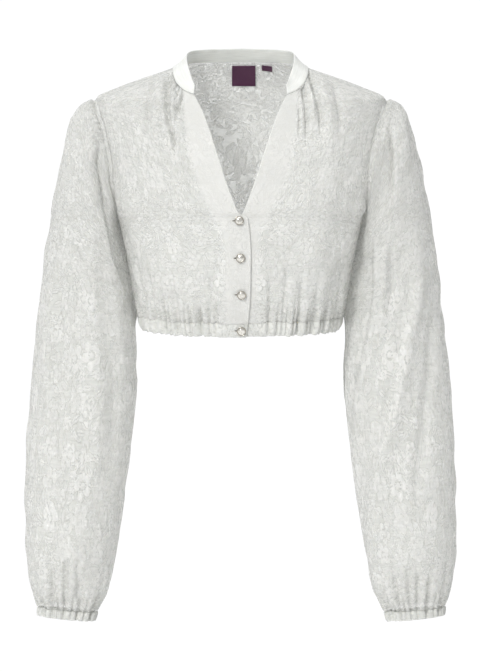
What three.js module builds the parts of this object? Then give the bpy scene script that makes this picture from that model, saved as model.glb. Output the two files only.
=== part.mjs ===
// A cropped dirndl blouse, filled out as it is worn: two fronts, a back, a collar stand that ends at the V,
// balloon sleeves, elastic casings at the cuffs and the hem, facings, four buttons and two bare labels.
// Millimetres, +Z up. The front faces -Y and the wearer's left is +X. The origin lies between the two points
// where the collar meets the shoulder seams, which is where the wearer's shoulders hold the blouse.
import * as THREE from 'three';

// Walls
const CLOTH = 1.2;
const FACING = 1;
const STAND = 1.6;
const CASING = 2.2;
const LABEL = 0.8;
const LABEL_STAND_OFF = 1;
const SEAM_GAP = 0.3;

// Finished heights of the bodice
const HEM_SEAM_Z = -302;
const HEM_EDGE_Z = -318;
const ARMPIT_Z = -190;
const SHOULDER_TIP_Z = -39;
const NECK_POINT_Z = -3.5;

// The blouse all round: half its width, and how far its front and its back stand from the side seams
const BODY_ROUNDNESS = 2.2;
const BODY = [
  { z: 8, half: 62, front: 42, back: 54 },
  { z: -3.5, half: 81, front: 52, back: 66 },
  { z: -15, half: 116, front: 62, back: 74 },
  { z: -27, half: 148, front: 72, back: 81 },
  { z: -39, half: 172.5, front: 80, back: 86 },
  { z: -60, half: 173.5, front: 90, back: 95 },
  { z: -86, half: 169, front: 100, back: 101 },
  { z: -120, half: 164.5, front: 108, back: 104 },
  { z: -150, half: 158, front: 114, back: 103 },
  { z: -190, half: 145, front: 120, back: 99 },
  { z: -243, half: 134, front: 122, back: 96 },
  { z: -281, half: 128, front: 116, back: 94 },
  { z: -302, half: 124, front: 109, back: 92 },
  { z: -310, half: 122.5, front: 107.5, back: 91 },
  { z: -318, half: 118, front: 105, back: 88 },
];

// Edges of the fronts, as distances from the centre line, positive on the panel's own side.
// Above the V point both follow the V, and below it the right front laps over the left one.
const V_EDGE = [
  { z: -29.5, across: 55.5 },
  { z: -41, across: 49 },
  { z: -54, across: 43 },
  { z: -85, across: 32 },
  { z: -128, across: 18 },
  { z: -150, across: 9.8 },
  { z: -168, across: 2.2 },
];
const OVERLAP_EDGE = [
  ...V_EDGE,
  { z: -173, across: -8.5 },
  { z: -220, across: -12.4 },
  { z: -256, across: -12 },
  { z: -302, across: -9 },
  { z: -318, across: -6.7 },
];
const UNDERLAP_EDGE = [
  ...V_EDGE,
  { z: -173, across: -3 },
  { z: -190, across: -10 },
  { z: -256, across: -11 },
  { z: -318, across: -11 },
];
const FACING_EDGE = [
  { z: -29.5, across: 69 },
  { z: -60, across: 66 },
  { z: -110, across: 58 },
  { z: -150, across: 43 },
  { z: -168, across: 34 },
  { z: -188, across: 24 },
  { z: -215, across: 19 },
  { z: -318, across: 18 },
];

// Where the left front lies whole under the lap, and where it has come out from under it
const LAP = { wholeAcross: 18, endsAcross: 60, startsZ: -110, wholeZ: -162 };

// Armhole seams, as distances from the centre line
const ARMHOLE = [
  { z: -39, front: 172.5, back: 172.5 },
  { z: -49, front: 169.5, back: 170.5 },
  { z: -77, front: 160.5, back: 165 },
  { z: -114, front: 153.5, back: 159 },
  { z: -152, front: 151.5, back: 154.5 },
  { z: -180, front: 147, back: 147.6 },
  { z: -190, front: 145, back: 145 },
];

// The collar seam and the collar's top edge, from its front end round to the centre back
const COLLAR = [
  { x: 55.5, y: -70, z: -29.5, topX: 54.4, topY: -63.5, topZ: -19 },
  { x: 63.5, y: -66, z: -27, topX: 56, topY: -59, topZ: -15.5 },
  { x: 71, y: -59.5, z: -22.5, topX: 57.8, topY: -51.5, topZ: -11.5 },
  { x: 78, y: -46.5, z: -15, topX: 60.8, topY: -38, topZ: -4 },
  { x: 81, y: -24, z: -6.5, topX: 63.2, topY: -20, topZ: 4.5 },
  { x: 81, y: 0, z: -3.5, topX: 64, topY: 0, topZ: 9.5 },
  { x: 78.5, y: 14, z: -2.6, topX: 63.5, topY: 15, topZ: 12.5 },
  { x: 71, y: 31, z: -1.8, topX: 58.5, topY: 31, topZ: 14.8 },
  { x: 55, y: 49, z: -1.2, topX: 46, topY: 43.5, topZ: 15.8 },
  { x: 30, y: 61, z: -1, topX: 25, topY: 51, topZ: 16 },
  { x: 0, y: 64, z: -1, topX: 0, topY: 53, topZ: 16 },
];
const NECK_POINT_ROW = 5;
const COLLAR_STEPS = 17;

// Rows of the panels from the hem up: the height at the centre edge and at the side seam, armhole or shoulder.
// hem and neck give how far the gathers stand out there, and flat how evenly the row is spread across.
const ARMHOLE_STEPS = 6;
const armholeZ = (step) =>
  ARMPIT_Z + ((SHOULDER_TIP_Z - ARMPIT_Z) * (1 - Math.cos((step * Math.PI) / ARMHOLE_STEPS))) / 2;
const PANEL_ROWS = [
  { front: -302, back: -302, side: -302, hem: 1.2, neck: 0, flat: 0, fine: true },
  { front: -291, back: -291, side: -291, hem: 2.1, neck: 0, flat: 0, fine: true },
  { front: -273, back: -273, side: -273, hem: 1.2, neck: 0, flat: 0, fine: true },
  { front: -247, back: -247, side: -247, hem: 0.4, neck: 0, flat: 0, fine: true },
  { front: -217, back: -217, side: -217, hem: 0, neck: 0, flat: 0 },
  { front: -190, back: -190, side: armholeZ(0), hem: 0, neck: 0, flat: 0.1 },
  { front: -173, back: -178, side: armholeZ(1), hem: 0, neck: 0, flat: 0.2 },
  { front: -168, back: -152, side: armholeZ(2), hem: 0, neck: 0, flat: 0.3 },
  { front: -132, back: -118, side: armholeZ(3), hem: 0, neck: 0.2, flat: 0.5 },
  { front: -102, back: -84, side: armholeZ(4), hem: 0, neck: 0.6, flat: 0.7 },
  { front: -78, back: -60, side: armholeZ(5), hem: 0, neck: 1.2, flat: 0.9 },
  { front: -63, back: -46, side: armholeZ(6), hem: 0, neck: 1.7, flat: 1 },
  { front: -50, back: -29, side: -27, hem: 0, neck: 2, flat: 1 },
  { front: -39.5, back: -15, side: -15, hem: 0, neck: 1.7, flat: 1 },
  { front: -29.5, back: -1, side: NECK_POINT_Z, hem: 0, neck: 0.6, flat: 1 },
];
const NECK_GATHERS_REACH = 130;
const NECK_GATHERS_FADE = 45;
const FACING_COLUMNS = 3;
const FRONT_COLUMNS = 18;
const BACK_COLUMNS = 26;

// Rings of a sleeve, from the armhole to the cuff: its outermost and innermost points seen from the front,
// half its depth, how far its middle lies behind the side seam, and how far its gathers stand out
const SLEEVE_ROUNDNESS = 2.1;
const SLEEVE = [
  { outX: 181, outZ: -40.8, inX: 146.4, inZ: -192.2, deep: 49, middle: 1, head: 1.4, cuff: 0, fine: true },
  { outX: 190, outZ: -46, inX: 146.3, inZ: -195, deep: 52, middle: 2, head: 1.8, cuff: 0, fine: true },
  { outX: 201, outZ: -61, inX: 145.4, inZ: -199, deep: 55, middle: 3, head: 1, cuff: 0, fine: true },
  { outX: 209, outZ: -86, inX: 143.8, inZ: -206, deep: 57, middle: 4, head: 0, cuff: 0 },
  { outX: 217, outZ: -122, inX: 141.8, inZ: -214, deep: 59, middle: 5, head: 0, cuff: 0 },
  { outX: 224.4, outZ: -158, inX: 139, inZ: -227, deep: 60, middle: 7, head: 0, cuff: 0 },
  { outX: 230, outZ: -196, inX: 136, inZ: -242, deep: 61, middle: 8, head: 0, cuff: 0 },
  { outX: 237.5, outZ: -248, inX: 130.6, inZ: -273, deep: 61, middle: 9, head: 0, cuff: 0 },
  { outX: 244.5, outZ: -310, inX: 125.9, inZ: -316, deep: 60, middle: 9, head: 0, cuff: 0 },
  { outX: 251, outZ: -374, inX: 123.6, inZ: -374, deep: 59, middle: 8, head: 0, cuff: 0 },
  { outX: 256.4, outZ: -444, inX: 130, inZ: -448, deep: 58, middle: 6, head: 0, cuff: 0 },
  { outX: 259, outZ: -516, inX: 138.5, inZ: -518, deep: 57, middle: 4, head: 0, cuff: 0 },
  { outX: 259, outZ: -576, inX: 147.8, inZ: -580, deep: 53, middle: 2, head: 0, cuff: 0.5, fine: true },
  { outX: 256.3, outZ: -614, inX: 155.8, inZ: -620, deep: 45, middle: 0, head: 0, cuff: 1.6, fine: true },
  { outX: 250.8, outZ: -638, inX: 163.3, inZ: -644, deep: 35, middle: 0, head: 0, cuff: 2.2, fine: true },
  { outX: 245.8, outZ: -651, inX: 169.8, inZ: -657.5, deep: 26.5, middle: 0, head: 0, cuff: 1.2, fine: true },
];
const CUFF_TOP = { outX: 246.2, outZ: -651.5, inX: 170.2, inZ: -658 };
const CUFF_BOTTOM = { outX: 245.6, outZ: -661.8, inX: 174, inZ: -669 };
const CUFF_DEPTH = 26;
const SLEEVE_COLUMNS = 24;
const HEAD_GATHERS_REACH = 80;
const HEAD_GATHERS_FADE = 25;
const BODY_SIDE_ANGLE = 140;

// The largest folds of the sleeves: they wander round the sleeve from one height and angle to another.
// The angle is 0 on the outside and 90 at the front. A positive depth is a ridge and a negative one a trough.
const SLEEVE_FOLDS = {
  left: [
    { fromZ: -230, fromAngle: 58, toZ: -580, toAngle: 146, wide: 15, depth: 4 },
    { fromZ: -230, fromAngle: 82, toZ: -560, toAngle: 165, wide: 13, depth: -4.5 },
    { fromZ: -200, fromAngle: -50, toZ: -600, toAngle: -110, wide: 18, depth: 4 },
    { fromZ: -220, fromAngle: -85, toZ: -590, toAngle: -140, wide: 16, depth: -3.5 },
  ],
  right: [
    { fromZ: -120, fromAngle: 120, toZ: -330, toAngle: 132, wide: 14, depth: 3 },
    { fromZ: -260, fromAngle: 66, toZ: -620, toAngle: 74, wide: 14, depth: -3.5 },
    { fromZ: -240, fromAngle: 92, toZ: -600, toAngle: 98, wide: 15, depth: 3.5 },
    { fromZ: -240, fromAngle: -70, toZ: -600, toAngle: -95, wide: 18, depth: -3.5 },
  ],
};
const FOLD_FADE = 60;

// Buttons on the lapped edge, and the bare labels inside the back neck
const BUTTON_RADIUS = 5.5;
const BUTTONS = [
  { x: -1.6, z: -177 },
  { x: 0, z: -221.5 },
  { x: 1.2, z: -265.5 },
  { x: 1.1, z: -309.5 },
];
const BUTTON_PROFILE = [
  { radius: 2, rise: 0 },
  { radius: 2, rise: 0.9 },
  { radius: 4.9, rise: 1.1 },
  { radius: 5.5, rise: 1.9 },
  { radius: 5.1, rise: 3 },
  { radius: 3.2, rise: 4.1 },
];
const BUTTON_TOP = 4.5;
const BUTTON_SIDES = 20;
const CASING_SWELL = 1.1;
const NECK_LABEL = { left: -10.4, right: 18.2, top: -3.4, bottom: -29.5, drop: 0 };
const SIZE_TAB = { left: 26, right: 38.6, top: -2.8, bottom: -9.8, drop: -0.6 };

const COLOURS = {
  cloth: 0xecede9,
  facing: 0xf1f1ee,
  button: 0xe9e6df,
  label: 0x4a1f3f,
};

const mix = (a, b, share) => a + (b - a) * share;
const clamp = (value) => Math.min(Math.max(value, 0), 1);
const ease = (value) => clamp(value) ** 2 * (3 - 2 * clamp(value));
const radians = (degrees) => (degrees * Math.PI) / 180;

// The value of one column at a height, smooth between the rows and never past them
function at(table, column, z) {
  const last = table.length - 1;
  let row = 0;
  while (row < last - 1 && z < table[row + 1].z) row += 1;
  const slope = (k) => (table[k + 1][column] - table[k][column]) / (table[k + 1].z - table[k].z);
  const tangent = (k) => {
    if (k === 0) return slope(0);
    if (k === last) return slope(last - 1);
    const before = slope(k - 1);
    const after = slope(k);
    return before * after <= 0 ? 0 : (2 * before * after) / (before + after);
  };
  const step = table[row + 1].z - table[row].z;
  const t = (z - table[row].z) / step;
  const rise = t * t * (3 - 2 * t);
  return (
    mix(table[row][column], table[row + 1][column], rise) +
    step * t * (1 - t) * ((1 - t) * tangent(row) - t * tangent(row + 1))
  );
}

// A point of the blouse's outer surface. towards is -1 for the front and 1 for the back.
function bodyPoint(x, z, towards) {
  const share = Math.min(Math.abs(x) / at(BODY, 'half', z), 1);
  const depth = at(BODY, towards < 0 ? 'front' : 'back', z);
  const y = towards * depth * (1 - share ** BODY_ROUNDNESS) ** (1 / BODY_ROUNDNESS);
  return new THREE.Vector3(x, y, z);
}

function bodyNormal(point, towards) {
  const column = towards < 0 ? 'front' : 'back';
  const half = at(BODY, 'half', point.z);
  const depth = at(BODY, column, point.z);
  const halfGrowth = (at(BODY, 'half', point.z + 1) - at(BODY, 'half', point.z - 1)) / 2;
  const depthGrowth = (at(BODY, column, point.z + 1) - at(BODY, column, point.z - 1)) / 2;
  const across = Math.abs(point.x) / half;
  const along = Math.abs(point.y) / depth;
  return new THREE.Vector3(
    (Math.sign(point.x) * across ** (BODY_ROUNDNESS - 1)) / half,
    (towards * along ** (BODY_ROUNDNESS - 1)) / depth,
    -(across ** BODY_ROUNDNESS * halfGrowth) / half - (along ** BODY_ROUNDNESS * depthGrowth) / depth,
  ).normalize();
}

const moved = (point, normal, distance) => point.clone().addScaledVector(normal, distance);

// One gather to each pair of columns, uneven in how far it stands out
function gather(column, height) {
  const uneven = 0.75 + 0.25 * Math.sin(column * 2.3);
  return column % 2 ? height * uneven : -height * uneven;
}

// How far the left front lies under the right one and its facing, where they lap
function lapDepth(across, z) {
  const under = CLOTH + FACING + 2 * SEAM_GAP;
  const sideways = ease((LAP.endsAcross - across) / (LAP.endsAcross - LAP.wholeAcross));
  return under * sideways * ease((LAP.startsZ - z) / (LAP.startsZ - LAP.wholeZ));
}

// The distance of a panel's side seam, armhole or shoulder from the centre line
function sideAcross(z, towards) {
  if (z > SHOULDER_TIP_Z || z < ARMPIT_Z) return at(BODY, 'half', z);
  return at(ARMHOLE, towards < 0 ? 'front' : 'back', z);
}

// Spreads a row from one distance to another: by angle round the body, or evenly on the shoulder
function spread(from, to, share, z, zFrom, zTo, flat) {
  const angle = (across, height) => Math.asin(Math.min(across / at(BODY, 'half', height), 1));
  const round = at(BODY, 'half', z) * Math.sin(mix(angle(from, zFrom), angle(to, zTo), share));
  const even = mix(from, to, mix(share, Math.sin((share * Math.PI) / 2), 0.6));
  return mix(round, even, flat);
}

const seamCurve = (rows) =>
  new THREE.CatmullRomCurve3(rows.map((row) => new THREE.Vector3(row.x, row.y, row.z)));
const FRONT_NECK = seamCurve(COLLAR.slice(0, NECK_POINT_ROW + 1));
const BACK_NECK = seamCurve(COLLAR.slice(NECK_POINT_ROW).reverse());

// A point of a front, at a share of the way from its centre edge to its side
function frontPoint(row, share, side, edge) {
  const facingShare = FACING_COLUMNS / FRONT_COLUMNS;
  const z = mix(row.front, row.side, ease(share));
  const zFacing = mix(row.front, row.side, ease(facingShare));
  let across;
  if (share <= facingShare) {
    across = mix(at(edge, 'across', row.front), at(FACING_EDGE, 'across', zFacing), share / facingShare);
  } else {
    const rest = (share - facingShare) / (1 - facingShare);
    const facing = at(FACING_EDGE, 'across', zFacing);
    across = spread(facing, sideAcross(row.side, -1), rest, z, zFacing, row.side, row.flat);
  }
  const point = bodyPoint(across, z, -1);
  return side < 0 ? point : moved(point, bodyNormal(point, -1), -lapDepth(across, z));
}

function frontRow(row, side, edge, columns) {
  const fine = columns / FRONT_COLUMNS;
  const points = [];
  for (let column = 0; column <= columns; column += 1) {
    const share = column / columns;
    const isNeck = row === PANEL_ROWS.at(-1);
    let point = isNeck ? FRONT_NECK.getPointAt(share) : frontPoint(row, share, side, edge);
    const normal = bodyNormal(point, -1);
    const inner = column - FACING_COLUMNS * fine;
    const edgeFade = clamp(inner / (2 * fine)) * clamp((columns - column) / fine);
    const neck = row.neck * ease((NECK_GATHERS_REACH - point.x) / NECK_GATHERS_FADE);
    point = moved(point, normal, gather(column, row.hem + neck) * edgeFade);
    if (row.side >= SHOULDER_TIP_Z || row.side <= ARMPIT_Z) {
      point.y = Math.min(point.y, -SEAM_GAP / 2);
    }
    points.push(point.setX(point.x * side));
  }
  return points;
}

function backRow(row, columns) {
  const points = [];
  for (let column = 0; column <= columns; column += 1) {
    const share = (2 * column) / columns - 1;
    const size = Math.abs(share);
    const z = mix(row.back, row.side, size ** 2);
    const isNeck = row === PANEL_ROWS.at(-1);
    let point;
    if (isNeck) {
      point = BACK_NECK.getPointAt(size);
    } else {
      point = bodyPoint(spread(0, sideAcross(row.side, 1), size, z, row.back, row.side, row.flat), z, 1);
    }
    const edgeFade = clamp((1 - size) * columns * 0.5);
    point = moved(point, bodyNormal(point, 1), gather(column, row.hem) * edgeFade);
    if (row.side >= SHOULDER_TIP_Z || row.side <= ARMPIT_Z) {
      point.y = Math.max(point.y, SEAM_GAP / 2);
    }
    points.push(point.setX(point.x * Math.sign(share || 1)));
  }
  return points;
}

// Joins rows of points into triangles. A row may have twice as many columns as the next one, or half as many.
function joinRows(rows, round) {
  const starts = [];
  let total = 0;
  for (const row of rows) {
    starts.push(total);
    total += row.length;
  }
  const triangles = [];
  for (let r = 0; r + 1 < rows.length; r += 1) {
    const low = rows[r].length - (round ? 0 : 1);
    const high = rows[r + 1].length - (round ? 0 : 1);
    const lower = (column) => starts[r] + (column % rows[r].length);
    const upper = (column) => starts[r + 1] + (column % rows[r + 1].length);
    for (let column = 0; column < Math.min(low, high); column += 1) {
      if (low === high) {
        triangles.push([lower(column), lower(column + 1), upper(column + 1)]);
        triangles.push([lower(column), upper(column + 1), upper(column)]);
      } else if (low > high) {
        triangles.push([lower(2 * column), lower(2 * column + 1), upper(column)]);
        triangles.push([lower(2 * column + 1), upper(column + 1), upper(column)]);
        triangles.push([lower(2 * column + 1), lower(2 * column + 2), upper(column + 1)]);
      } else {
        triangles.push([upper(2 * column + 1), upper(2 * column), lower(column)]);
        triangles.push([upper(2 * column + 1), lower(column), lower(column + 1)]);
        triangles.push([upper(2 * column + 2), upper(2 * column + 1), lower(column + 1)]);
      }
    }
  }
  return triangles;
}

// Gives rows of outer points a wall: the same points moved in, and a rim round every open edge.
// turn may correct the normal of a point, so that walls lie side by side at a seam.
function wall(rows, thickness, { round = false, turn = () => {} } = {}) {
  const outer = rows.flat();
  const faces = joinRows(rows, round);
  const normals = outer.map(() => new THREE.Vector3());
  for (const [a, b, c] of faces) {
    const across = outer[b].clone().sub(outer[a]);
    const normal = across.cross(outer[c].clone().sub(outer[a]));
    for (const corner of [a, b, c]) normals[corner].add(normal);
  }
  const inner = outer.map((point, index) => {
    const normal = normals[index].normalize();
    turn(normal, point);
    return moved(point, normal.normalize(), -thickness);
  });
  const count = outer.length;
  const edges = new Map();
  for (const [a, b, c] of faces) {
    for (const [from, to] of [[a, b], [b, c], [c, a]]) edges.set(`${from},${to}`, [from, to]);
  }
  const triangles = [...faces];
  for (const [a, b, c] of faces) triangles.push([a + count, c + count, b + count]);
  for (const [from, to] of edges.values()) {
    if (!edges.has(`${to},${from}`)) {
      triangles.push([to, from, from + count]);
      triangles.push([to, from + count, to + count]);
    }
  }
  const geometry = new THREE.BufferGeometry();
  const positions = [...outer, ...inner].flatMap((point) => point.toArray());
  geometry.setAttribute('position', new THREE.Float32BufferAttribute(positions, 3));
  geometry.setIndex(triangles.flat());
  geometry.computeVertexNormals();
  return geometry;
}

const blouse = new THREE.Group();

function addPiece(name, geometry, colour, roughness = 0.85, metalness = 0) {
  const material = new THREE.MeshStandardMaterial({ color: colour, roughness, metalness });
  const mesh = new THREE.Mesh(geometry, material);
  mesh.name = name;
  blouse.add(mesh);
  return mesh;
}

// Rows must run round the body the same way, so that their faces point out
const outward = (rows, side) => (side < 0 ? rows.map((row) => [...row].reverse()) : rows);

// At a side or shoulder seam the front and the back walls lie flat against each other
function turnAtSideSeam(normal, point) {
  const seam = point.z > SHOULDER_TIP_Z - 1 || point.z < ARMPIT_Z + 1;
  if (seam && Math.abs(point.y) <= SEAM_GAP) normal.y = 0;
}

const FRONTS = {
  right: { side: -1, edge: OVERLAP_EDGE },
  left: { side: 1, edge: UNDERLAP_EDGE },
};
const panelColumns = (row, columns) => (row.fine ? 2 * columns : columns);

function addFronts() {
  for (const [name, { side, edge }] of Object.entries(FRONTS)) {
    const rows = PANEL_ROWS.map((row) => frontRow(row, side, edge, panelColumns(row, FRONT_COLUMNS)));
    addPiece(`front_${name}`, wall(outward(rows, side), CLOTH, { turn: turnAtSideSeam }), COLOURS.cloth);
    const facing = PANEL_ROWS.map((row) => facingRow(row, side, edge));
    addPiece(`facing_${name}`, wall(outward(facing, side), FACING), COLOURS.facing);
  }
}

// A facing lies inside its front: the front's own points next to the edge, moved in
function facingRow(row, side, edge) {
  const points = frontRow(row, side, edge, FRONT_COLUMNS).slice(0, FACING_COLUMNS + 1);
  return points.map((point) => {
    const normal = bodyNormal(point, -1);
    return moved(point, normal, -CLOTH - SEAM_GAP);
  });
}

function addBack() {
  const rows = PANEL_ROWS.map((row) => backRow(row, panelColumns(row, BACK_COLUMNS)));
  const reversed = rows.map((row) => [...row].reverse());
  addPiece('back', wall(reversed, CLOTH, { turn: turnAtSideSeam }), COLOURS.cloth);
}

// The casings go on from the hem seam with the same gathers, rounded over the elastic
function addHem() {
  const levels = [
    { z: HEM_EDGE_Z, swell: 0.1, gather: 1.1 },
    { z: mix(HEM_SEAM_Z, HEM_EDGE_Z, 0.75), swell: CASING_SWELL - 0.1, gather: 0.9 },
    { z: mix(HEM_SEAM_Z, HEM_EDGE_Z, 0.35), swell: CASING_SWELL, gather: 1 },
    { z: HEM_SEAM_Z - SEAM_GAP, swell: 0.2, gather: 1.2 },
  ];
  const grown = (point, level, towards) => moved(point, bodyNormal(point, towards), level.swell);
  for (const [name, { side, edge }] of Object.entries(FRONTS)) {
    const rows = levels.map((level) => {
      const row = { front: level.z, side: level.z, hem: level.gather, neck: 0, flat: 0 };
      const points = frontRow(row, side, edge, 2 * FRONT_COLUMNS);
      return points.map((point) => grown(point, level, -1));
    });
    addPiece(`hem_${name}`, wall(outward(rows, side), CASING, { turn: turnAtSideSeam }), COLOURS.cloth);
  }
  const rows = levels.map((level) => {
    const row = { back: level.z, side: level.z, hem: level.gather, neck: 0, flat: 0 };
    return backRow(row, 2 * BACK_COLUMNS).map((point) => grown(point, level, 1)).reverse();
  });
  addPiece('hem_back', wall(rows, CASING, { turn: turnAtSideSeam }), COLOURS.cloth);
}

// The collar stand leans in towards its top edge
function addCollar() {
  const seam = seamCurve(COLLAR);
  const top = new THREE.CatmullRomCurve3(COLLAR.map((row) => new THREE.Vector3(row.topX, row.topY, row.topZ)));
  const half = [];
  for (let step = 0; step <= COLLAR_STEPS; step += 1) {
    const low = seam.getPointAt(step / COLLAR_STEPS);
    const high = top.getPointAt(step / COLLAR_STEPS);
    const start = SEAM_GAP / low.distanceTo(high);
    half.push([start, 0.35, 0.7, 1].map((share) => low.clone().lerp(high, share)));
  }
  const mirrored = half.slice(0, -1).map((column) => column.map((point) => point.clone().setX(-point.x)));
  const columns = [...half, ...mirrored.reverse()];
  const rows = [0, 1, 2, 3].map((level) => columns.map((column) => column[level]));
  addPiece('collar_stand', wall(rows, STAND), COLOURS.facing);
}

// The armhole's own points, from the shoulder tip round the front to the armpit and up the back
function armholePoint(step) {
  const turns = 2 * ARMHOLE_STEPS;
  const index = ((step % turns) + turns) % turns;
  const towards = index <= ARMHOLE_STEPS ? -1 : 1;
  const z = armholeZ(index <= ARMHOLE_STEPS ? ARMHOLE_STEPS - index : index - ARMHOLE_STEPS);
  const point = bodyPoint(sideAcross(z, towards), z, towards);
  point.x += SEAM_GAP;
  return point;
}

function foldHeight(folds, angle, z) {
  let height = 0;
  for (const fold of folds) {
    const share = (z - fold.fromZ) / (fold.toZ - fold.fromZ);
    const middle = mix(fold.fromAngle, fold.toAngle, share);
    const fade = ease((fold.fromZ - z + FOLD_FADE) / FOLD_FADE) * ease((z - fold.toZ + FOLD_FADE) / FOLD_FADE);
    const turned = ((angle - middle + 540) % 360) - 180;
    height += fold.depth * fade * Math.exp(-((turned / fold.wide) ** 2));
  }
  return height;
}

// A point of a sleeve ring. The angle is 0 on the outside, 90 at the front and 180 against the body.
function ringPoint(ring, angle, rise) {
  const power = 2 / SLEEVE_ROUNDNESS;
  const cos = Math.cos(radians(angle));
  const sin = Math.sin(radians(angle));
  const out = Math.sign(cos) * Math.abs(cos) ** power;
  const front = Math.sign(sin) * Math.abs(sin) ** power;
  const length = Math.hypot(ring.outX - ring.inX, ring.outZ - ring.inZ) / 2;
  const outShare = (out * (1 + rise / length) + 1) / 2;
  return new THREE.Vector3(
    mix(ring.inX, ring.outX, outShare),
    ring.middle - front * (ring.deep + rise),
    mix(ring.inZ, ring.outZ, outShare),
  );
}

function sleeveRing(ring, columns, folds, side) {
  const points = [];
  for (let column = 0; column < columns; column += 1) {
    const angle = (360 * column) / columns;
    const signed = angle > 180 ? angle - 360 : angle;
    const z = mix(ring.outZ, ring.inZ, (1 - Math.cos(radians(angle))) / 2);
    const head = ease((HEAD_GATHERS_REACH - Math.abs(signed)) / HEAD_GATHERS_FADE) * ring.head;
    const rise = gather(column, head + ring.cuff) + foldHeight(folds, signed, z);
    const besideBody = ease((Math.abs(signed) - BODY_SIDE_ANGLE) / (180 - BODY_SIDE_ANGLE));
    const point = ringPoint(ring, angle, rise * (1 - besideBody));
    points.push(point.setX(point.x * side));
  }
  return points;
}

function addSleeve(name, side) {
  const folds = SLEEVE_FOLDS[name];
  const columns = 2 * SLEEVE_COLUMNS;
  const perStep = columns / (2 * ARMHOLE_STEPS);
  const head = [];
  for (let column = 0; column < columns; column += 1) {
    const step = Math.floor(column / perStep);
    const point = armholePoint(step).lerp(armholePoint(step + 1), (column % perStep) / perStep);
    head.push(point.setX(point.x * side));
  }
  const rings = SLEEVE.map((ring) => sleeveRing(ring, panelColumns(ring, SLEEVE_COLUMNS), folds, side));
  const rows = [head, ...rings];
  addPiece(`sleeve_${name}`, wall(outward(rows, side), CLOTH, { round: true }), COLOURS.cloth);
}

function addCuff(name, side) {
  const levels = [
    { share: 0, swell: 0.4, gather: 1.2 },
    { share: 0.35, swell: 1.2, gather: 1 },
    { share: 0.75, swell: 1.1, gather: 1 },
    { share: 1, swell: 0.3, gather: 1.2 },
  ];
  const rows = levels.map((level) => {
    const ring = { deep: CUFF_DEPTH + level.swell, middle: 0, head: 0, cuff: level.gather };
    for (const key of Object.keys(CUFF_TOP)) ring[key] = mix(CUFF_TOP[key], CUFF_BOTTOM[key], level.share);
    ring.outX += level.swell;
    ring.inX -= level.swell;
    return sleeveRing(ring, 2 * SLEEVE_COLUMNS, [], side);
  });
  addPiece(`cuff_${name}`, wall(outward(rows, side), CASING, { round: true }), COLOURS.cloth);
}

function addButtons() {
  const profile = [new THREE.Vector2(0, 0)];
  for (const { radius, rise } of BUTTON_PROFILE) profile.push(new THREE.Vector2(radius, rise));
  profile.push(new THREE.Vector2(0, BUTTON_TOP));
  BUTTONS.forEach(({ x, z }, index) => {
    const geometry = new THREE.LatheGeometry(profile, BUTTON_SIDES);
    const button = addPiece(`button_${index + 1}`, geometry, COLOURS.button, 0.2);
    const seat = bodyPoint(x, z, -1);
    const normal = bodyNormal(seat, -1);
    const onCasing = z < HEM_SEAM_Z ? CASING_SWELL : 0;
    button.position.copy(moved(seat, normal, SEAM_GAP + onCasing));
    button.quaternion.setFromUnitVectors(new THREE.Vector3(0, 1, 0), normal);
  });
}

// A label lies on the inside of the back: the back's points, moved in
function addLabel(name, { left, right, top, bottom, drop }) {
  const rows = [0, 0.33, 0.67, 1].map((share) =>
    [0, 0.25, 0.5, 0.75, 1].map((across) => {
      const z = mix(bottom, top, share) + drop * (2 * across - 1);
      const point = bodyPoint(mix(right, left, across), z, 1);
      return moved(point, bodyNormal(point, 1), -CLOTH - LABEL_STAND_OFF);
    }),
  );
  addPiece(name, wall(rows, LABEL), COLOURS.label, 0.7);
}

addFronts();
addBack();
addHem();
addCollar();
addSleeve('right', -1);
addSleeve('left', 1);
addCuff('right', -1);
addCuff('left', 1);
addButtons();
addLabel('neck_label', NECK_LABEL);
addLabel('size_tab', SIZE_TAB);

export default blouse;
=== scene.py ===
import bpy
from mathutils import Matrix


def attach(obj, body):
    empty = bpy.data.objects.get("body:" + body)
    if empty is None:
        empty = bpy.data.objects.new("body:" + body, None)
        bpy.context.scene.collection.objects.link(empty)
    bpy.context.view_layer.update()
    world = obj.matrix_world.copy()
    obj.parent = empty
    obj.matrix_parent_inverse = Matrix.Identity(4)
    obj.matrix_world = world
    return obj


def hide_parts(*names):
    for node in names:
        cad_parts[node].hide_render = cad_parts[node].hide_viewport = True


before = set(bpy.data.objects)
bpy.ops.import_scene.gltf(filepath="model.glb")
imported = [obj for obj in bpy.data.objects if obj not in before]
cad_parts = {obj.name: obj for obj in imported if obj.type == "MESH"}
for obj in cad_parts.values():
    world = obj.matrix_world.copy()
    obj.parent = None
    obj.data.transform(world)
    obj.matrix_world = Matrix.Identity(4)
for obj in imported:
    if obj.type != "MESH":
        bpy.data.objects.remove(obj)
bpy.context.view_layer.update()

import math

import bpy
import numpy as np
from mathutils import Vector

# A cropped dirndl blouse, filled out as it is worn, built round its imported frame.
# Sizes in the tables are millimetres, with +Z up, the front towards -Y and the wearer's left towards +X.

bl_info = {
    "name": "Dirndl blouse",
    "version": (1, 0, 0),
    "blender": (4, 5, 0),
    "location": "3D View > Sidebar > Blouse",
    "description": "Builds a cropped jacquard dirndl blouse piece by piece",
    "category": "Object",
}

MM = 0.001


def table(names, rows):
    """A table with named columns, and a column row that counts its rows."""
    made = dict(zip(names.split(), np.array(rows, float).T))
    made["row"] = np.arange(len(rows), dtype=float)
    return made


def named(columns, rows):
    """Rows of mixed values, each with the names of its columns."""
    return [dict(zip(columns.split(), row)) for row in rows]


# Form of the blouse, the same as its solids

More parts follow.
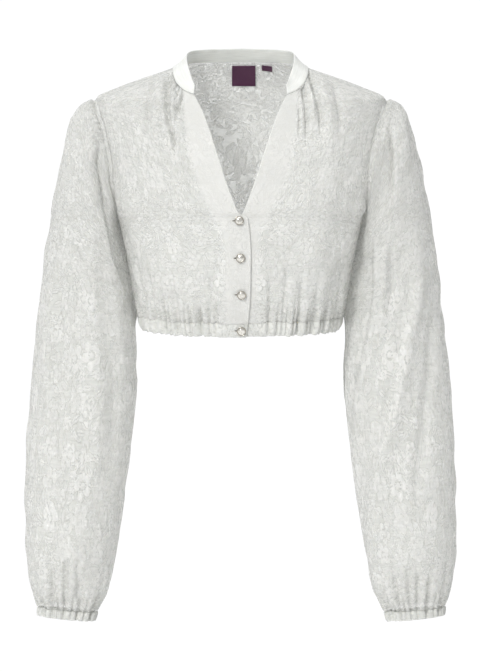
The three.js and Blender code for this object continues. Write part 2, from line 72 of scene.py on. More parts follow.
BODY_ROUNDNESS = 2.2
SLEEVE_ROUNDNESS = 2.1
HEM_SEAM_Z = -302
HEM_EDGE_Z = -318
ARMPIT_Z = -190
SHOULDER_TIP_Z = -39
NECK_POINT_Z = -3.5
SEAM_GAP = 0.3
SOLID_CLOTH = 1.2
SOLID_FACING = 1.0

BODY = table("z half front back", [
    (8, 62, 42, 54), (-3.5, 81, 52, 66), (-15, 116, 62, 74), (-27, 148, 72, 81), (-39, 172.5, 80, 86),
    (-60, 173.5, 90, 95), (-86, 169, 100, 101), (-120, 164.5, 108, 104), (-150, 158, 114, 103),
    (-190, 145, 120, 99), (-243, 134, 122, 96), (-281, 128, 116, 94), (-302, 124, 109, 92),
    (-310, 122.5, 107.5, 91), (-318, 118, 105, 88),
])
V_EDGE = [(-29.5, 55.5), (-41, 49), (-54, 43), (-85, 32), (-128, 18), (-150, 9.8), (-168, 2.2)]
OVERLAP_EDGE = table("z across", V_EDGE + [
    (-173, -8.5), (-220, -12.4), (-256, -12), (-302, -9), (-318, -6.7),
])
UNDERLAP_EDGE = table("z across", V_EDGE + [(-173, -3), (-190, -10), (-256, -11), (-318, -11)])
FACING_EDGE = table("z across", [
    (-29.5, 69), (-60, 66), (-110, 58), (-150, 43), (-168, 34), (-188, 24), (-215, 19), (-318, 18),
])
LAP = {"whole_across": 18, "ends_across": 60, "starts_z": -110, "whole_z": -162}
ARMHOLE = table("z front back", [
    (-39, 172.5, 172.5), (-49, 169.5, 170.5), (-77, 160.5, 165), (-114, 153.5, 159),
    (-152, 151.5, 154.5), (-180, 147, 147.6), (-190, 145, 145),
])
COLLAR = table("x y z top_x top_y top_z", [
    (55.5, -70, -29.5, 54.4, -63.5, -19), (63.5, -66, -27, 56, -59, -15.5),
    (71, -59.5, -22.5, 57.8, -51.5, -11.5), (78, -46.5, -15, 60.8, -38, -4),
    (81, -24, -6.5, 63.2, -20, 4.5), (81, 0, -3.5, 64, 0, 9.5), (78.5, 14, -2.6, 63.5, 15, 12.5),
    (71, 31, -1.8, 58.5, 31, 14.8), (55, 49, -1.2, 46, 43.5, 15.8), (30, 61, -1, 25, 51, 16),
    (0, 64, -1, 0, 53, 16),
])
NECK_POINT_ROW = 5
CENTRE_BACK_ROW = 10


def armhole_z(step):
    return ARMPIT_Z + (SHOULDER_TIP_Z - ARMPIT_Z) * (1 - np.cos(np.asarray(step) * math.pi / 6)) / 2


PANEL = table("front back side flat", [
    (-302, -302, -302, 0), (-291, -291, -291, 0), (-273, -273, -273, 0), (-247, -247, -247, 0),
    (-217, -217, -217, 0), (-190, -190, armhole_z(0), 0.1), (-173, -178, armhole_z(1), 0.2),
    (-168, -152, armhole_z(2), 0.3), (-132, -118, armhole_z(3), 0.5), (-102, -84, armhole_z(4), 0.7),
    (-78, -60, armhole_z(5), 0.9), (-63, -46, armhole_z(6), 1), (-50, -29, -27, 1),
    (-39.5, -15, -15, 1), (-29.5, -1, NECK_POINT_Z, 1),
])
NECK_ROW = 14
FACING_SHARE = 3 / 18

SLEEVE = table("out_x out_z in_x in_z deep middle", [
    (181, -40.8, 146.4, -192.2, 49, 1), (190, -46, 146.3, -195, 52, 2), (201, -61, 145.4, -199, 55, 3),
    (209, -86, 143.8, -206, 57, 4), (217, -122, 141.8, -214, 59, 5), (224.4, -158, 139, -227, 60, 7),
    (230, -196, 136, -242, 61, 8), (237.5, -248, 130.6, -273, 61, 9), (244.5, -310, 125.9, -316, 60, 9),
    (251, -374, 123.6, -374, 59, 8), (256.4, -444, 130, -448, 58, 6), (259, -516, 138.5, -518, 57, 4),
    (259, -576, 147.8, -580, 53, 2), (256.3, -614, 155.8, -620, 45, 0), (250.8, -638, 163.3, -644, 35, 0),
    (245.8, -651, 169.8, -657.5, 26.5, 0),
])
CUFF = table("out_x out_z in_x in_z deep middle", [
    (246.2, -651.5, 170.2, -658, 26, 0), (245.6, -661.8, 174, -669, 26, 0),
])
# Where a sleeve's front folds back towards the body: the fold's edge, and how far back the cloth behind it is
SLEEVE_STEPS = {
    "right": [
        {"path": [(168, -86), (174, -113), (171, -129), (168, -159), (161, -190), (153, -228), (140, -265),
                  (129, -298), (119, -345)], "back": 5},
    ],
    "left": [
        {"path": [(179, -70), (184, -97), (183, -158), (177, -196)], "back": 7},
        {"path": [(160, -205), (159, -278), (152, -325), (145, -352), (138, -386), (134, -446)], "back": 13},
    ],
}
# How wide such an edge is, how far it fades at its ends, how much the cloth rises to it, and from how far
STEP_WIDTH, STEP_FADE, STEP_LIFT, STEP_REACH = 1.6, 34, 5, 20
# From this angle on a sleeve lies against the body, where its ridges fade out, and its wall moves this far
# in behind the bodice
BODY_SIDE_ANGLE = 140
BEHIND_BODICE = 7
# How far a large fold fades at its ends
FOLD_FADE = 60

# The largest folds of the sleeves, round the sleeve and down it: angle 0 is outside and 90 is in front
SLEEVE_FOLDS = {
    "left": named("wide depth from to", [
        (15, 1, (-230, 58), (-580, 146)),
        (13, -1.2, (-230, 82), (-560, 165)),
        (18, 4, (-200, -50), (-600, -110)),
        (16, -3.5, (-220, -85), (-590, -140)),
    ]),
    "right": named("wide depth from to", [
        (14, 1.5, (-120, 120), (-330, 132)),
        (14, -1.6, (-260, 66), (-620, 74)),
        (15, 1.4, (-240, 92), (-600, 98)),
        (18, -3.5, (-240, -70), (-600, -95)),
    ]),
}

# Creases, given as paths of x and z seen from the front: positive depths are ridges
FRONT_CREASES = {
    "right": named("wide depth path", [
        (2.4, -4.4, [(-86, -10), (-88, -46), (-86, -63), (-81, -77), (-77, -112)]),
        (2, -3.4, [(-68, -27), (-73, -42), (-77, -58)]),
        (2.6, 2.4, [(-79, -18), (-81, -48), (-79, -64)]),
        (5, 1.5, [(-95, -14), (-99, -40), (-99, -72), (-95, -112)]),
        (3, -2.2, [(-104, -14), (-110, -48), (-110, -84)]),
        (5, 1, [(-72, -62), (-68, -96), (-62, -124)]),
        (8, -1, [(-140, -118), (-126, -150), (-106, -176)]),
        (9, 1.2, [(-146, -150), (-128, -186), (-112, -224)]),
        (8, -0.9, [(-60, -252), (-64, -226), (-74, -196)]),
        (7, -1.2, [(-112, -288), (-116, -250), (-124, -214)]),
        (4.5, -1.4, [(-34, -292), (-36, -262), (-33, -232)]),
    ]),
    "left": named("wide depth path", [
        (2.4, -4, [(73, -14), (78, -42), (80, -68), (79, -90)]),
        (2.6, -3.8, [(82, -7), (93, -36), (97, -63), (98, -88)]),
        (2.8, 2.2, [(79, -10), (86, -40), (88, -66)]),
        (2, -2, [(67, -30), (71, -60), (70, -84)]),
        (4.6, 1.3, [(96, -16), (106, -44), (109, -78), (108, -110)]),
        (3, -2, [(112, -18), (119, -50), (121, -80)]),
        (8, -1.1, [(141, -112), (124, -146), (108, -176)]),
        (8, 1.2, [(147, -158), (131, -196), (118, -238)]),
        (8, -0.8, [(58, -256), (60, -222), (70, -190)]),
        (6, -1.1, [(108, -286), (114, -252), (124, -216)]),
        (4.5, -1.5, [(40, -292), (42, -262), (38, -238)]),
    ]),
}
BACK_CREASES = named("wide depth path", [
    (9, -1.3, [(-132, -108), (-104, -146), (-84, -200)]),
    (9, -1.2, [(128, -112), (106, -158), (92, -206)]),
    (8, 1, [(-118, -92), (-90, -128), (-66, -176)]),
    (8, 1.1, [(114, -96), (88, -140), (70, -190)]),
    (7, -1.3, [(-24, -292), (-22, -250), (-30, -206)]),
    (7, -1.2, [(38, -292), (42, -244), (36, -198)]),
    (6, 1.1, [(78, -292), (82, -256), (92, -222)]),
    (6, 1, [(-86, -292), (-90, -252), (-98, -214)]),
    (10, 0.8, [(6, -40), (-4, -96), (4, -150)]),
])
SLEEVE_CREASES = {
    "right": named("wide depth path", [
        (4, -2, [(-166, -84), (-173, -114), (-170, -129), (-166, -159), (-158, -200)]),
        (5, -1.4, [(-182, -60), (-190, -96), (-188, -140)]),
        (5, 1.2, [(-198, -58), (-206, -92), (-206, -130)]),
        (8, -1.8, [(-196, -217), (-192, -330), (-188, -460), (-194, -600)]),
        (9, 1.6, [(-178, -196), (-174, -300), (-168, -400), (-176, -540)]),
        (7, 2.2, [(-226, -250), (-232, -340), (-230, -440)]),
        (6, -1, [(-150, -330), (-152, -420), (-160, -510)]),
        (3.4, -3, [(-210, -590), (-209, -622), (-211, -650)]),
        (3.2, -2.8, [(-195, -588), (-194, -622), (-197, -652)]),
        (3, -2, [(-226, -604), (-226, -628), (-224, -650)]),
    ]),
    "left": named("wide depth path", [
        (4.5, -2.4, [(178, -66), (184, -97), (183, -158)]),
        (5, 1.4, [(193, -54), (198, -86), (197, -122)]),
        (5, -1.2, [(206, -64), (210, -98), (208, -134)]),
        (9, 3.2, [(218, -235), (201, -332), (183, -425), (172, -455), (161, -510), (157, -575)]),
        (6, -1.8, [(206, -242), (189, -335), (171, -425), (160, -470), (150, -530)]),
        (4, 1.3, [(174, -214), (172, -268), (168, -318), (160, -352)]),
        (3.6, -1.2, [(181, -206), (180, -262), (177, -312)]),
        (7, -2.6, [(232, -290), (226, -380), (214, -470), (206, -560)]),
        (3.6, -3.2, [(201, -600), (202, -626), (204, -652)]),
        (3.2, -2.8, [(213, -608), (214, -630), (213, -652)]),
        (3, -2, [(226, -616), (226, -634), (224, -650)]),
        (3, -2.2, [(184, -612), (185, -634), (188, -654)]),
    ]),
}

# Buttons, buttonholes and labels
BUTTONS = table("x z", [(-1.6, -177), (0, -221.5), (1.2, -265.5), (1.1, -309.5)])
BUTTON_PROFILE = table("radius rise", [
    (1.6, -0.6), (1.7, 0.9), (4.2, 1), (5, 1.15), (5.5, 1.9), (5.4, 2.5), (5.05, 2.8), (4.65, 2.6),
    (4.35, 2.85), (3.4, 3.85), (1.8, 4.4), (0, 4.5),
])
BUTTON_SIDES, BUTTON_STEPS = 48, 40
BUTTON_TIP = 0.02
# A buttonhole's slit, a dark sheet of painted shade, stands a little proud of the cloth, so that its dark end
# shows beside the button
HOLE_LONG, HOLE_WIDE, HOLE_RISE, HOLE_DEEP, HOLE_OFFSET = 12.8, 1.8, 0.12, 0.1, 1.9
HOLE_POINTS, HOLE_FULLNESS = 40, 0.7
BINDING_LONGER, BINDING_WIDER, BINDING_PITCH, BINDING_THREAD = 0.9, 0.35, 0.8, 0.6
NECK_LABEL = {"left": -10.4, "right": 18.2, "top": -3.4, "bottom": -29.5, "drop": 0}
SIZE_TAB = {"left": 26, "right": 38.6, "top": -2.8, "bottom": -9.8, "drop": -0.6}
LABEL_STAND_OFF = 1
TAPE_THICK = 0.5
LABEL_INSET, LABEL_PITCH, LABEL_THREAD = 2, 1.8, 0.8

# A casing bulges over its elastic, and its seam tucks in under the cloth above it
CASING_SWELL = 0.6
CASING_TUCK = 0.7
TUCK_STARTS = 0.86
CASING_OVERLAP = 0.8


def ease(share):
    share = np.clip(share, 0, 1)
    return share * share * (3 - 2 * share)


def mix(a, b, share):
    return a + (b - a) * share


def value_at(rows, column, where, along="z"):
    """The value of a column, smooth between the rows and never past them."""
    knots, values = rows[along], rows[column]
    if knots[0] > knots[-1]:
        knots, values = knots[::-1], values[::-1]
    where = np.asarray(where, float)
    row = np.clip(np.searchsorted(knots, where, side="right") - 1, 0, len(knots) - 2)
    slopes = np.diff(values) / np.diff(knots)
    before, after = slopes[:-1], slopes[1:]
    rising = before * after > 0
    middle = np.where(rising, 2 * before * after / np.where(rising, before + after, 1), 0)
    tangent = np.concatenate([slopes[:1], middle, slopes[-1:]])
    step = knots[row + 1] - knots[row]
    t = (where - knots[row]) / step
    bend = step * t * (1 - t) * ((1 - t) * tangent[row] - t * tangent[row + 1])
    return mix(values[row], values[row + 1], t * t * (3 - 2 * t)) + bend


def along_curve(points, shares, first, last):
    """Points at even shares of the way along a smooth curve, from one of its given points to another."""
    steps = np.concatenate([[0], np.cumsum(np.linalg.norm(np.diff(points, axis=0), axis=1))])
    track = {"run": steps, "x": points[:, 0], "y": points[:, 1], "z": points[:, 2]}
    fine = np.linspace(0, steps[-1], 600)
    path = np.stack([value_at(track, axis, fine, "run") for axis in "xyz"], -1)
    run = np.concatenate([[0], np.cumsum(np.linalg.norm(np.diff(path, axis=0), axis=1))])
    start, end = np.interp(steps[[first, last]], fine, run)
    where = np.interp(mix(start, end, np.asarray(shares)), run, fine)
    return np.stack([value_at(track, axis, where, "run") for axis in "xyz"], -1)


def collar_line(names):
    """The collar's seam or its top edge, from the right front end round the back to the left one."""
    left = np.stack([COLLAR[name] for name in names.split()], -1)
    return np.concatenate([left[:-1] * (-1, 1, 1), left[::-1]])


COLLAR_SEAM = collar_line("x y z")
COLLAR_TOP = collar_line("top_x top_y top_z")
LEFT_END = 2 * CENTRE_BACK_ROW
LEFT_NECK_POINT = LEFT_END - NECK_POINT_ROW


def body_point(x, z, towards):
    """A point of the blouse's outer surface. towards is -1 for the front and 1 for the back."""
    x, z = np.broadcast_arrays(np.asarray(x, float), np.asarray(z, float))
    share = np.minimum(np.abs(x) / value_at(BODY, "half", z), 1)
    depth = value_at(BODY, "front" if towards < 0 else "back", z)
    y = towards * depth * (1 - share ** BODY_ROUNDNESS) ** (1 / BODY_ROUNDNESS)
    return np.stack([x, y, z], -1)


def body_normal(points, towards):
    column = "front" if towards < 0 else "back"
    x, y, z = points[..., 0], points[..., 1], points[..., 2]
    half, depth = value_at(BODY, "half", z), value_at(BODY, column, z)
    half_growth = (value_at(BODY, "half", z + 1) - value_at(BODY, "half", z - 1)) / 2
    depth_growth = (value_at(BODY, column, z + 1) - value_at(BODY, column, z - 1)) / 2
    across, along = np.abs(x) / half, np.abs(y) / depth
    normal = np.stack([
        np.sign(x) * across ** (BODY_ROUNDNESS - 1) / half,
        towards * along ** (BODY_ROUNDNESS - 1) / depth,
        -(across ** BODY_ROUNDNESS * half_growth) / half - (along ** BODY_ROUNDNESS * depth_growth) / depth,
    ], -1)
    return normal / np.linalg.norm(normal, axis=-1, keepdims=True)


def side_across(z, towards):
    """The distance of a panel's side seam, armhole or shoulder from the centre line."""
    on_armhole = (z <= SHOULDER_TIP_Z) & (z >= ARMPIT_Z)
    armhole = value_at(ARMHOLE, "front" if towards < 0 else "back", np.clip(z, ARMPIT_Z, SHOULDER_TIP_Z))
    return np.where(on_armhole, armhole, value_at(BODY, "half", z))


def spread(start, end, share, z, z_start, z_end, flat):
    """Spreads a row from one distance to another: by angle round the body, or evenly on the shoulder."""
    def angle(across, height):
        return np.arcsin(np.clip(across / value_at(BODY, "half", height), -1, 1))
    around = value_at(BODY, "half", z) * np.sin(mix(angle(start, z_start), angle(end, z_end), share))
    even = mix(start, end, mix(share, np.sin(share * math.pi / 2), 0.6))
    return mix(around, even, flat)


def lap_depth(across, z):
    """How far the left front lies under the right one and its facing, where they lap."""
    under = SOLID_CLOTH + SOLID_FACING + 2 * SEAM_GAP
    sideways = ease((LAP["ends_across"] - across) / (LAP["ends_across"] - LAP["whole_across"]))
    return under * sideways * ease((LAP["starts_z"] - z) / (LAP["starts_z"] - LAP["whole_z"]))


def at_side_seam(side_z):
    return (side_z >= SHOULDER_TIP_Z) | (side_z <= ARMPIT_Z)


def front_surface(side, front, side_z, flat, shares):
    """A front's outer surface on the wearer's left, for rows of heights at its edge and its side."""
    edge = OVERLAP_EDGE if side < 0 else UNDERLAP_EDGE
    s = shares[None, :]
    z = mix(front, side_z, ease(s))
    z_facing = mix(front, side_z, ease(FACING_SHARE))
    facing = value_at(FACING_EDGE, "across", z_facing)
    near = mix(value_at(edge, "across", front), facing, s / FACING_SHARE)
    rest = np.clip((s - FACING_SHARE) / (1 - FACING_SHARE), 0, 1)
    far = spread(facing, side_across(side_z, -1), rest, z, z_facing, side_z, flat)
    across = np.where(s <= FACING_SHARE, near, far)
    points = body_point(across, z, -1)
    if side > 0:
        points = points - body_normal(points, -1) * lap_depth(across, z)[..., None]
    return points


def panel_columns(rows, names):
    held = np.minimum(rows, NECK_ROW - 1)[:, None]
    return [value_at(PANEL, name, held, "row") for name in names.split()]


def front_grid(side, rows, shares):
    front, side_z, flat = panel_columns(rows, "front side flat")
    points = front_surface(side, front, side_z, flat, shares)
    neck = along_curve(COLLAR_SEAM, shares, LEFT_END, LEFT_NECK_POINT)[None]
    rise = np.clip(rows - (NECK_ROW - 1), 0, 1)[:, None, None]
    points = mix(points, neck, rise)
    seam = at_side_seam(side_z)
    points[..., 1] = np.where(seam, np.minimum(points[..., 1], -SEAM_GAP / 2), points[..., 1])
    return points


def back_grid(rows, shares):
    """The back's outer surface, with shares from -1 on the wearer's right to 1 on the left."""
    back, side_z, flat = panel_columns(rows, "back side flat")
    size = np.abs(shares)[None, :]
    z = mix(back, side_z, size ** 2)
    points = body_point(spread(0, side_across(side_z, 1), size, z, back, side_z, flat), z, 1)
    neck = along_curve(COLLAR_SEAM, size[0], CENTRE_BACK_ROW, LEFT_NECK_POINT)[None]
    rise = np.clip(rows - (NECK_ROW - 1), 0, 1)[:, None, None]
    points = mix(points, neck, rise)
    seam = at_side_seam(side_z)
    points[..., 1] = np.where(seam, np.maximum(points[..., 1], SEAM_GAP / 2), points[..., 1])
    points[..., 0] *= np.where(shares < 0, -1, 1)[None, :]
    return points


def ring_points(rows, shape, angles):
    """Rings of a sleeve or a cuff. The angle is 0 on the outside, 90 in front and 180 against the body."""
    cos, sin = np.cos(np.radians(angles))[None, :], np.sin(np.radians(angles))[None, :]
    power = 2 / SLEEVE_ROUNDNESS
    out, front = np.sign(cos) * np.abs(cos) ** power, np.sign(sin) * np.abs(sin) ** power
    out_x, out_z, in_x, in_z, deep, middle = (
        value_at(shape, name, rows[:, None], "row") for name in "out_x out_z in_x in_z deep middle".split()
    )
    share = (out + 1) / 2
    return np.stack([mix(in_x, out_x, share), middle - front * deep, mix(in_z, out_z, share)], -1)


def armhole_points(angles):
    """The armhole's points, from the shoulder tip round the front to the armpit and up the back."""
    step = np.asarray(angles) / 30
    z = armhole_z(np.where(step <= 6, 6 - step, step - 6))
    front, back = body_point(side_across(z, -1), z, -1), body_point(side_across(z, 1), z, 1)
    points = np.where((step <= 6)[:, None], front, back)
    return points + (SEAM_GAP, 0, 0)


# Folds, gathers and creases, as heights in millimetres along the cloth's normal

# Gathers differ in width, height and reach. A slit takes a small share of one, its ridge is part dome and
# part flat, and all of it sinks in by most of its height
GATHER_WIDTHS, GATHER_HEIGHTS, GATHER_REACHES = (0.65, 1.35), (0.55, 1), (0.35, 1)
SLIT_SHARE, DOME_SHARE, GATHER_SUNK = 0.15, 0.45, 0.85
# Next to an elastic, short gathers run from 14 to 40 mm and wide ones from 36 to 106 mm
SHORT_RUN, SHORT_MORE, WIDE_RUN, WIDE_MORE, WIDE_DEPTH = 14, 26, 36, 70, 1.1
# A crease fades in over its first part, though not from nothing, and fades out over its last part
FADE_IN, FADE_FROM, FADE_OUT = 0.12, 0.25, 0.4


def gathers(position, count, seed):
    """Rounded ridges with narrow slits between them, all uneven, and how far from the seam each one runs.
    position runs from 0 to 1 across the gathered stretch."""
    random = np.random.default_rng(seed)
    knots = np.concatenate([[0], np.cumsum(random.uniform(*GATHER_WIDTHS, count))])
    knots /= knots[-1]
    tall, reach = random.uniform(*GATHER_HEIGHTS, count), random.uniform(*GATHER_REACHES, count)
    place = np.clip(position, 0, 1)
    index = np.clip(np.searchsorted(knots, place, side="right") - 1, 0, count - 1)
    inside = (place - knots[index]) / (knots[index + 1] - knots[index])
    dome = np.sin(math.pi * np.clip(inside, 0, 1))
    slit = 1 - np.exp(-(np.minimum(inside, 1 - inside) / SLIT_SHARE) ** 2)
    ridge = tall[index] * mix(slit, dome, DOME_SHARE) - GATHER_SUNK
    middles = (knots[1:] + knots[:-1]) / 2
    return ridge, np.interp(place, middles, reach)


def crease_heights(creases, x, z):
    """Soft troughs and ridges along paths seen from the front, faded in at the start and out at the end."""
    height = np.zeros(x.shape)
    for crease in creases:
        path = np.array(crease["path"], float)
        lengths = np.linalg.norm(np.diff(path, axis=0), axis=1)
        runs = np.concatenate([[0], np.cumsum(lengths)]) / lengths.sum()
        nearest, share = np.full(x.shape, 1e9), np.zeros(x.shape)
        for start, end, run, length in zip(path[:-1], path[1:], runs[:-1], lengths):
            along = (end - start) / length
            t = np.clip((x - start[0]) * along[0] + (z - start[1]) * along[1], 0, length)
            away = np.hypot(x - start[0] - along[0] * t, z - start[1] - along[1] * t)
            share = np.where(away < nearest, run + t / lengths.sum(), share)
            nearest = np.minimum(away, nearest)
        fade = ease(share / FADE_IN + FADE_FROM) * ease((1 - share) / FADE_OUT)
        height += crease["depth"] * fade * np.exp(-(nearest / crease["wide"]) ** 2)
    return height


def stepped_back(points, steps, share):
    """Lifts the cloth up to the edge of each fold, and moves the cloth on the body's side of it back.
    share is how much of the step a place takes."""
    points = points.copy()
    for step in steps:
        path = np.array(step["path"], float)[::-1]
        edge = np.interp(points[..., 2], path[:, 1], path[:, 0])
        from_top, from_end = path[-1, 1] - points[..., 2], points[..., 2] - path[0, 1]
        fade = ease(from_top / STEP_FADE) * ease(from_end / STEP_FADE)
        outside = points[..., 0] - edge
        lifted = STEP_LIFT * np.exp(-(np.maximum(outside, 0) / STEP_REACH) ** 2)
        points[..., 1] += (step["back"] + STEP_LIFT) * ease(-outside / STEP_WIDTH) * fade * share
        points[..., 1] -= lifted * fade * share
    return points


def fold_heights(folds, angles, z):
    """The large folds that wander round a sleeve."""
    signed = (np.asarray(angles)[None, :] + 180) % 360 - 180
    height = np.zeros(z.shape)
    for fold in folds:
        (from_z, from_angle), (to_z, to_angle) = fold["from"], fold["to"]
        middle = mix(from_angle, to_angle, (z - from_z) / (to_z - from_z))
        fade = ease((from_z - z + FOLD_FADE) / FOLD_FADE) * ease((z - to_z + FOLD_FADE) / FOLD_FADE)
        turned = (signed - middle + 540) % 360 - 180
        height += fold["depth"] * fade * np.exp(-(turned / fold["wide"]) ** 2)
    return height


# How uneven each piece is: the length of its waves, their seed and their depth
UNEVEN = {"front": (34, 3, 0.45), "back": (36, 9, 0.5), "sleeve": (46, 21, 0.8), "collar": (40, 15, 0.35),
          "tape": (24, 51, 0.15)}
UNEVEN_WAVES = 9


def unevenness(points, piece):
    """The soft unevenness of cloth that has been worn."""
    wavelength, seed, depth = UNEVEN[piece]
    random = np.random.default_rng(seed)
    total = np.zeros(points.shape[:-1])
    for _ in range(UNEVEN_WAVES):
        direction = random.normal(size=3)
        direction /= np.linalg.norm(direction)
        length = wavelength * random.uniform(0.7, 1.7)
        total += np.sin(points @ direction * 2 * math.pi / length + random.uniform(0, 2 * math.pi))
    return total / math.sqrt(UNEVEN_WAVES) * depth


def casing_swell(level):
    """How far a casing bulges between its open edge at 0 and the seam at 1, where it tucks in."""
    bulge = CASING_SWELL * np.sqrt(np.sin(math.pi * np.clip(level, 0.02, 0.98)))
    return bulge - CASING_TUCK * ease((level - TUCK_STARTS) / (1 - TUCK_STARTS))


def edge_gathers(position, away, count, seed, depth):
    """The gathers next to an elastic: short narrow ones, and half as many wider ones that run further.
    away is the distance from the elastic, and 0 on its casing."""
    narrow, reach = gathers(position, count, seed)
    wide, far = gathers(position, count // 2, seed + 1)
    close = narrow * (1 - ease(away / (SHORT_RUN + SHORT_MORE * reach)))
    return depth * (close + WIDE_DEPTH * wide * (1 - ease(away / (WIDE_RUN + WIDE_MORE * far))))


# Meshes

def grid_normals(points, closed, flip):
    """Outward normals of a grid of points."""
    if closed:
        across = np.gradient(np.concatenate([points[:, -1:], points, points[:, :1]], axis=1), axis=1)[:, 1:-1]
    else:
        across = np.gradient(points, axis=1)
    normal = np.cross(across, np.gradient(points, axis=0))
    normal /= np.maximum(np.linalg.norm(normal, axis=-1, keepdims=True), 1e-9)
    return -normal if flip else normal


def add_mesh(name, vertices, faces, uvs, material, smooth=True):
    """An object from points in millimetres, its faces, and a cloth coordinate in metres for each corner."""
    mesh = bpy.data.meshes.new(name)
    mesh.from_pydata((np.asarray(vertices) * MM).tolist(), [], faces)
    if uvs is not None:
        layer = mesh.uv_layers.new(name="cloth")
        layer.data.foreach_set("uv", np.asarray(uvs, float).ravel())
    mesh.polygons.foreach_set("use_smooth", [smooth] * len(mesh.polygons))
    mesh.materials.append(material)
    mesh.update()
    made = bpy.data.objects.new(name, mesh)
    bpy.context.scene.collection.objects.link(made)
    return made


def shell(name, points, thickness, material, cloth_size, closed=False, flip=False, wrong_side=None):
    """A thin shell of cloth: the grid of outer points, the same moved in, and a rim round its open edges.
    cloth_size is the width and length in metres that its cloth coordinates run to.
    wrong_side is the material of the inner face and the rim, where it isn't the same."""
    rows, count = points.shape[:2]
    inner = points - grid_normals(points, closed, flip) * thickness
    vertices = np.concatenate([points.reshape(-1, 3), inner.reshape(-1, 3)])
    below = rows * count
    columns = np.arange(count if closed else count - 1)
    r, c = np.meshgrid(np.arange(rows - 1), columns, indexing="ij")
    r, c = r.ravel(), c.ravel()
    right = (c + 1) % count
    quad = np.stack([r * count + c, r * count + right, (r + 1) * count + right, (r + 1) * count + c], -1)
    share = cloth_size[0] / (count if closed else count - 1)
    rise = cloth_size[1] / (rows - 1)
    corners = ((0, 0), (1, 0), (1, 1), (0, 1))
    place = np.stack([np.stack([c + across, r + up], -1) for across, up in corners], 1) * (share, rise)
    outer_faces, outer_uv = (quad[:, ::-1], place[:, ::-1]) if flip else (quad, place)
    faces = [outer_faces, outer_faces[:, ::-1] + below]
    uvs = [outer_uv, outer_uv[:, ::-1]]

    def rim(edge, at, turn):
        a, b = edge[:-1], edge[1:]
        ring = np.stack([b, a, a + below, b + below], -1)
        spot = np.stack([at[1:], at[:-1], at[:-1], at[1:]], 1)
        if turn != flip:
            ring, spot = ring[:, ::-1], spot[:, ::-1]
        faces.append(ring)
        uvs.append(spot)

    across = np.arange(count + 1 if closed else count)
    for row, turn in ((0, False), (rows - 1, True)):
        at = np.stack([across * share, np.full(len(across), row * rise)], -1)
        rim(row * count + across % count, at, turn)
    if not closed:
        along = np.arange(rows)
        for column, turn in ((0, True), (count - 1, False)):
            at = np.stack([np.full(rows, column * share), along * rise], -1)
            rim(along * count + column, at, turn)
    faces = np.concatenate(faces)
    made = add_mesh(name, vertices, faces.tolist(), np.concatenate(uvs).reshape(-1, 2), material)
    if wrong_side:
        made.data.materials.append(wrong_side)
        made.data.polygons.foreach_set("material_index", (np.arange(len(faces)) >= len(quad)).astype(int))
    return made


def displaced(points, heights, closed=False, flip=False):
    return points + grid_normals(points, closed, flip) * heights[..., None]


def dress(made, slot, *nodes):
    """Rides a piece on the blouse and hides the solids that it stands for. Its slot is not used."""
    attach(made, "root")
    if nodes:
        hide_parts(*nodes)


# How far ahead of a stitch the line's direction is taken
AHEAD_BY = 0.4


def resampled(path, normals, spacing):
    """Even steps along a line of points, with the middle, direction and normal of each."""
    run = np.concatenate([[0], np.cumsum(np.linalg.norm(np.diff(path, axis=0), axis=1))])
    count = max(int(run[-1] // spacing), 1)
    where = (np.arange(count) + 0.5) * run[-1] / count

    def at(values, places):
        return np.stack([np.interp(places, run, values[:, axis]) for axis in range(3)], -1)

    middle = at(path, where)
    ahead = at(path, where + AHEAD_BY) - at(path, where - AHEAD_BY)
    ahead /= np.maximum(np.linalg.norm(ahead, axis=1, keepdims=True), 1e-9)
    up = at(normals, where)
    up -= ahead * np.sum(up * ahead, axis=1, keepdims=True)
    up /= np.maximum(np.linalg.norm(up, axis=1, keepdims=True), 1e-9)
    return middle, ahead, up


STITCH_SIDES = 6
# Places along a stitch: how far along it is, its girth and how far it is lifted
STITCH_STATIONS = [(-0.5, 0.35, -0.35), (-0.28, 0.9, 0.1), (0, 1, 0.22), (0.28, 0.9, 0.1), (0.5, 0.35, -0.35)]


def add_stitches(name, lines, material, pitch, thread, cover=0.78):
    """Rows of stitches as small beads of thread. Each line is its points and the cloth's normals there."""
    vertices, faces = [], []
    turns = np.arange(STITCH_SIDES) * 2 * math.pi / STITCH_SIDES
    for path, normals in lines:
        middle, ahead, up = resampled(path, normals, pitch)
        beside = np.cross(ahead, up)
        for centre, forward, out, sideways in zip(middle, ahead, up, beside):
            first = len(vertices)
            for along, girth, lift in STITCH_STATIONS:
                spot = centre + forward * along * pitch * cover + out * thread * lift
                for turn in turns:
                    round_it = out * math.sin(turn) + sideways * math.cos(turn)
                    vertices.append(spot + round_it * girth * thread / 2)
            for ring in range(len(STITCH_STATIONS) - 1):
                low, high = first + ring * STITCH_SIDES, first + (ring + 1) * STITCH_SIDES
                for k in range(STITCH_SIDES):
                    n = (k + 1) % STITCH_SIDES
                    faces.append((low + k, high + k, high + n, low + n))
            faces.append(tuple(first + k for k in range(STITCH_SIDES)))
            last = first + (len(STITCH_STATIONS) - 1) * STITCH_SIDES
            faces.append(tuple(last + k for k in range(STITCH_SIDES))[::-1])
    return add_mesh(name, vertices, faces, None, material)


# Materials

def linear(hex_colour):
    """An sRGB hex colour as linear red, green, blue and alpha."""
    parts = [int(hex_colour[k:k + 2], 16) / 255 for k in (1, 3, 5)]
    return tuple(c / 12.92 if c <= 0.04045 else ((c + 0.055) / 1.055) ** 2.4 for c in parts) + (1.0,)


def set_inputs(tree, node, inputs):
    """Links the inputs that are given a socket, and sets the others."""
    for name, value in inputs.items():
        if isinstance(value, bpy.types.NodeSocket):
            tree.links.new(value, node.inputs[name])
        else:
            node.inputs[name].default_value = value


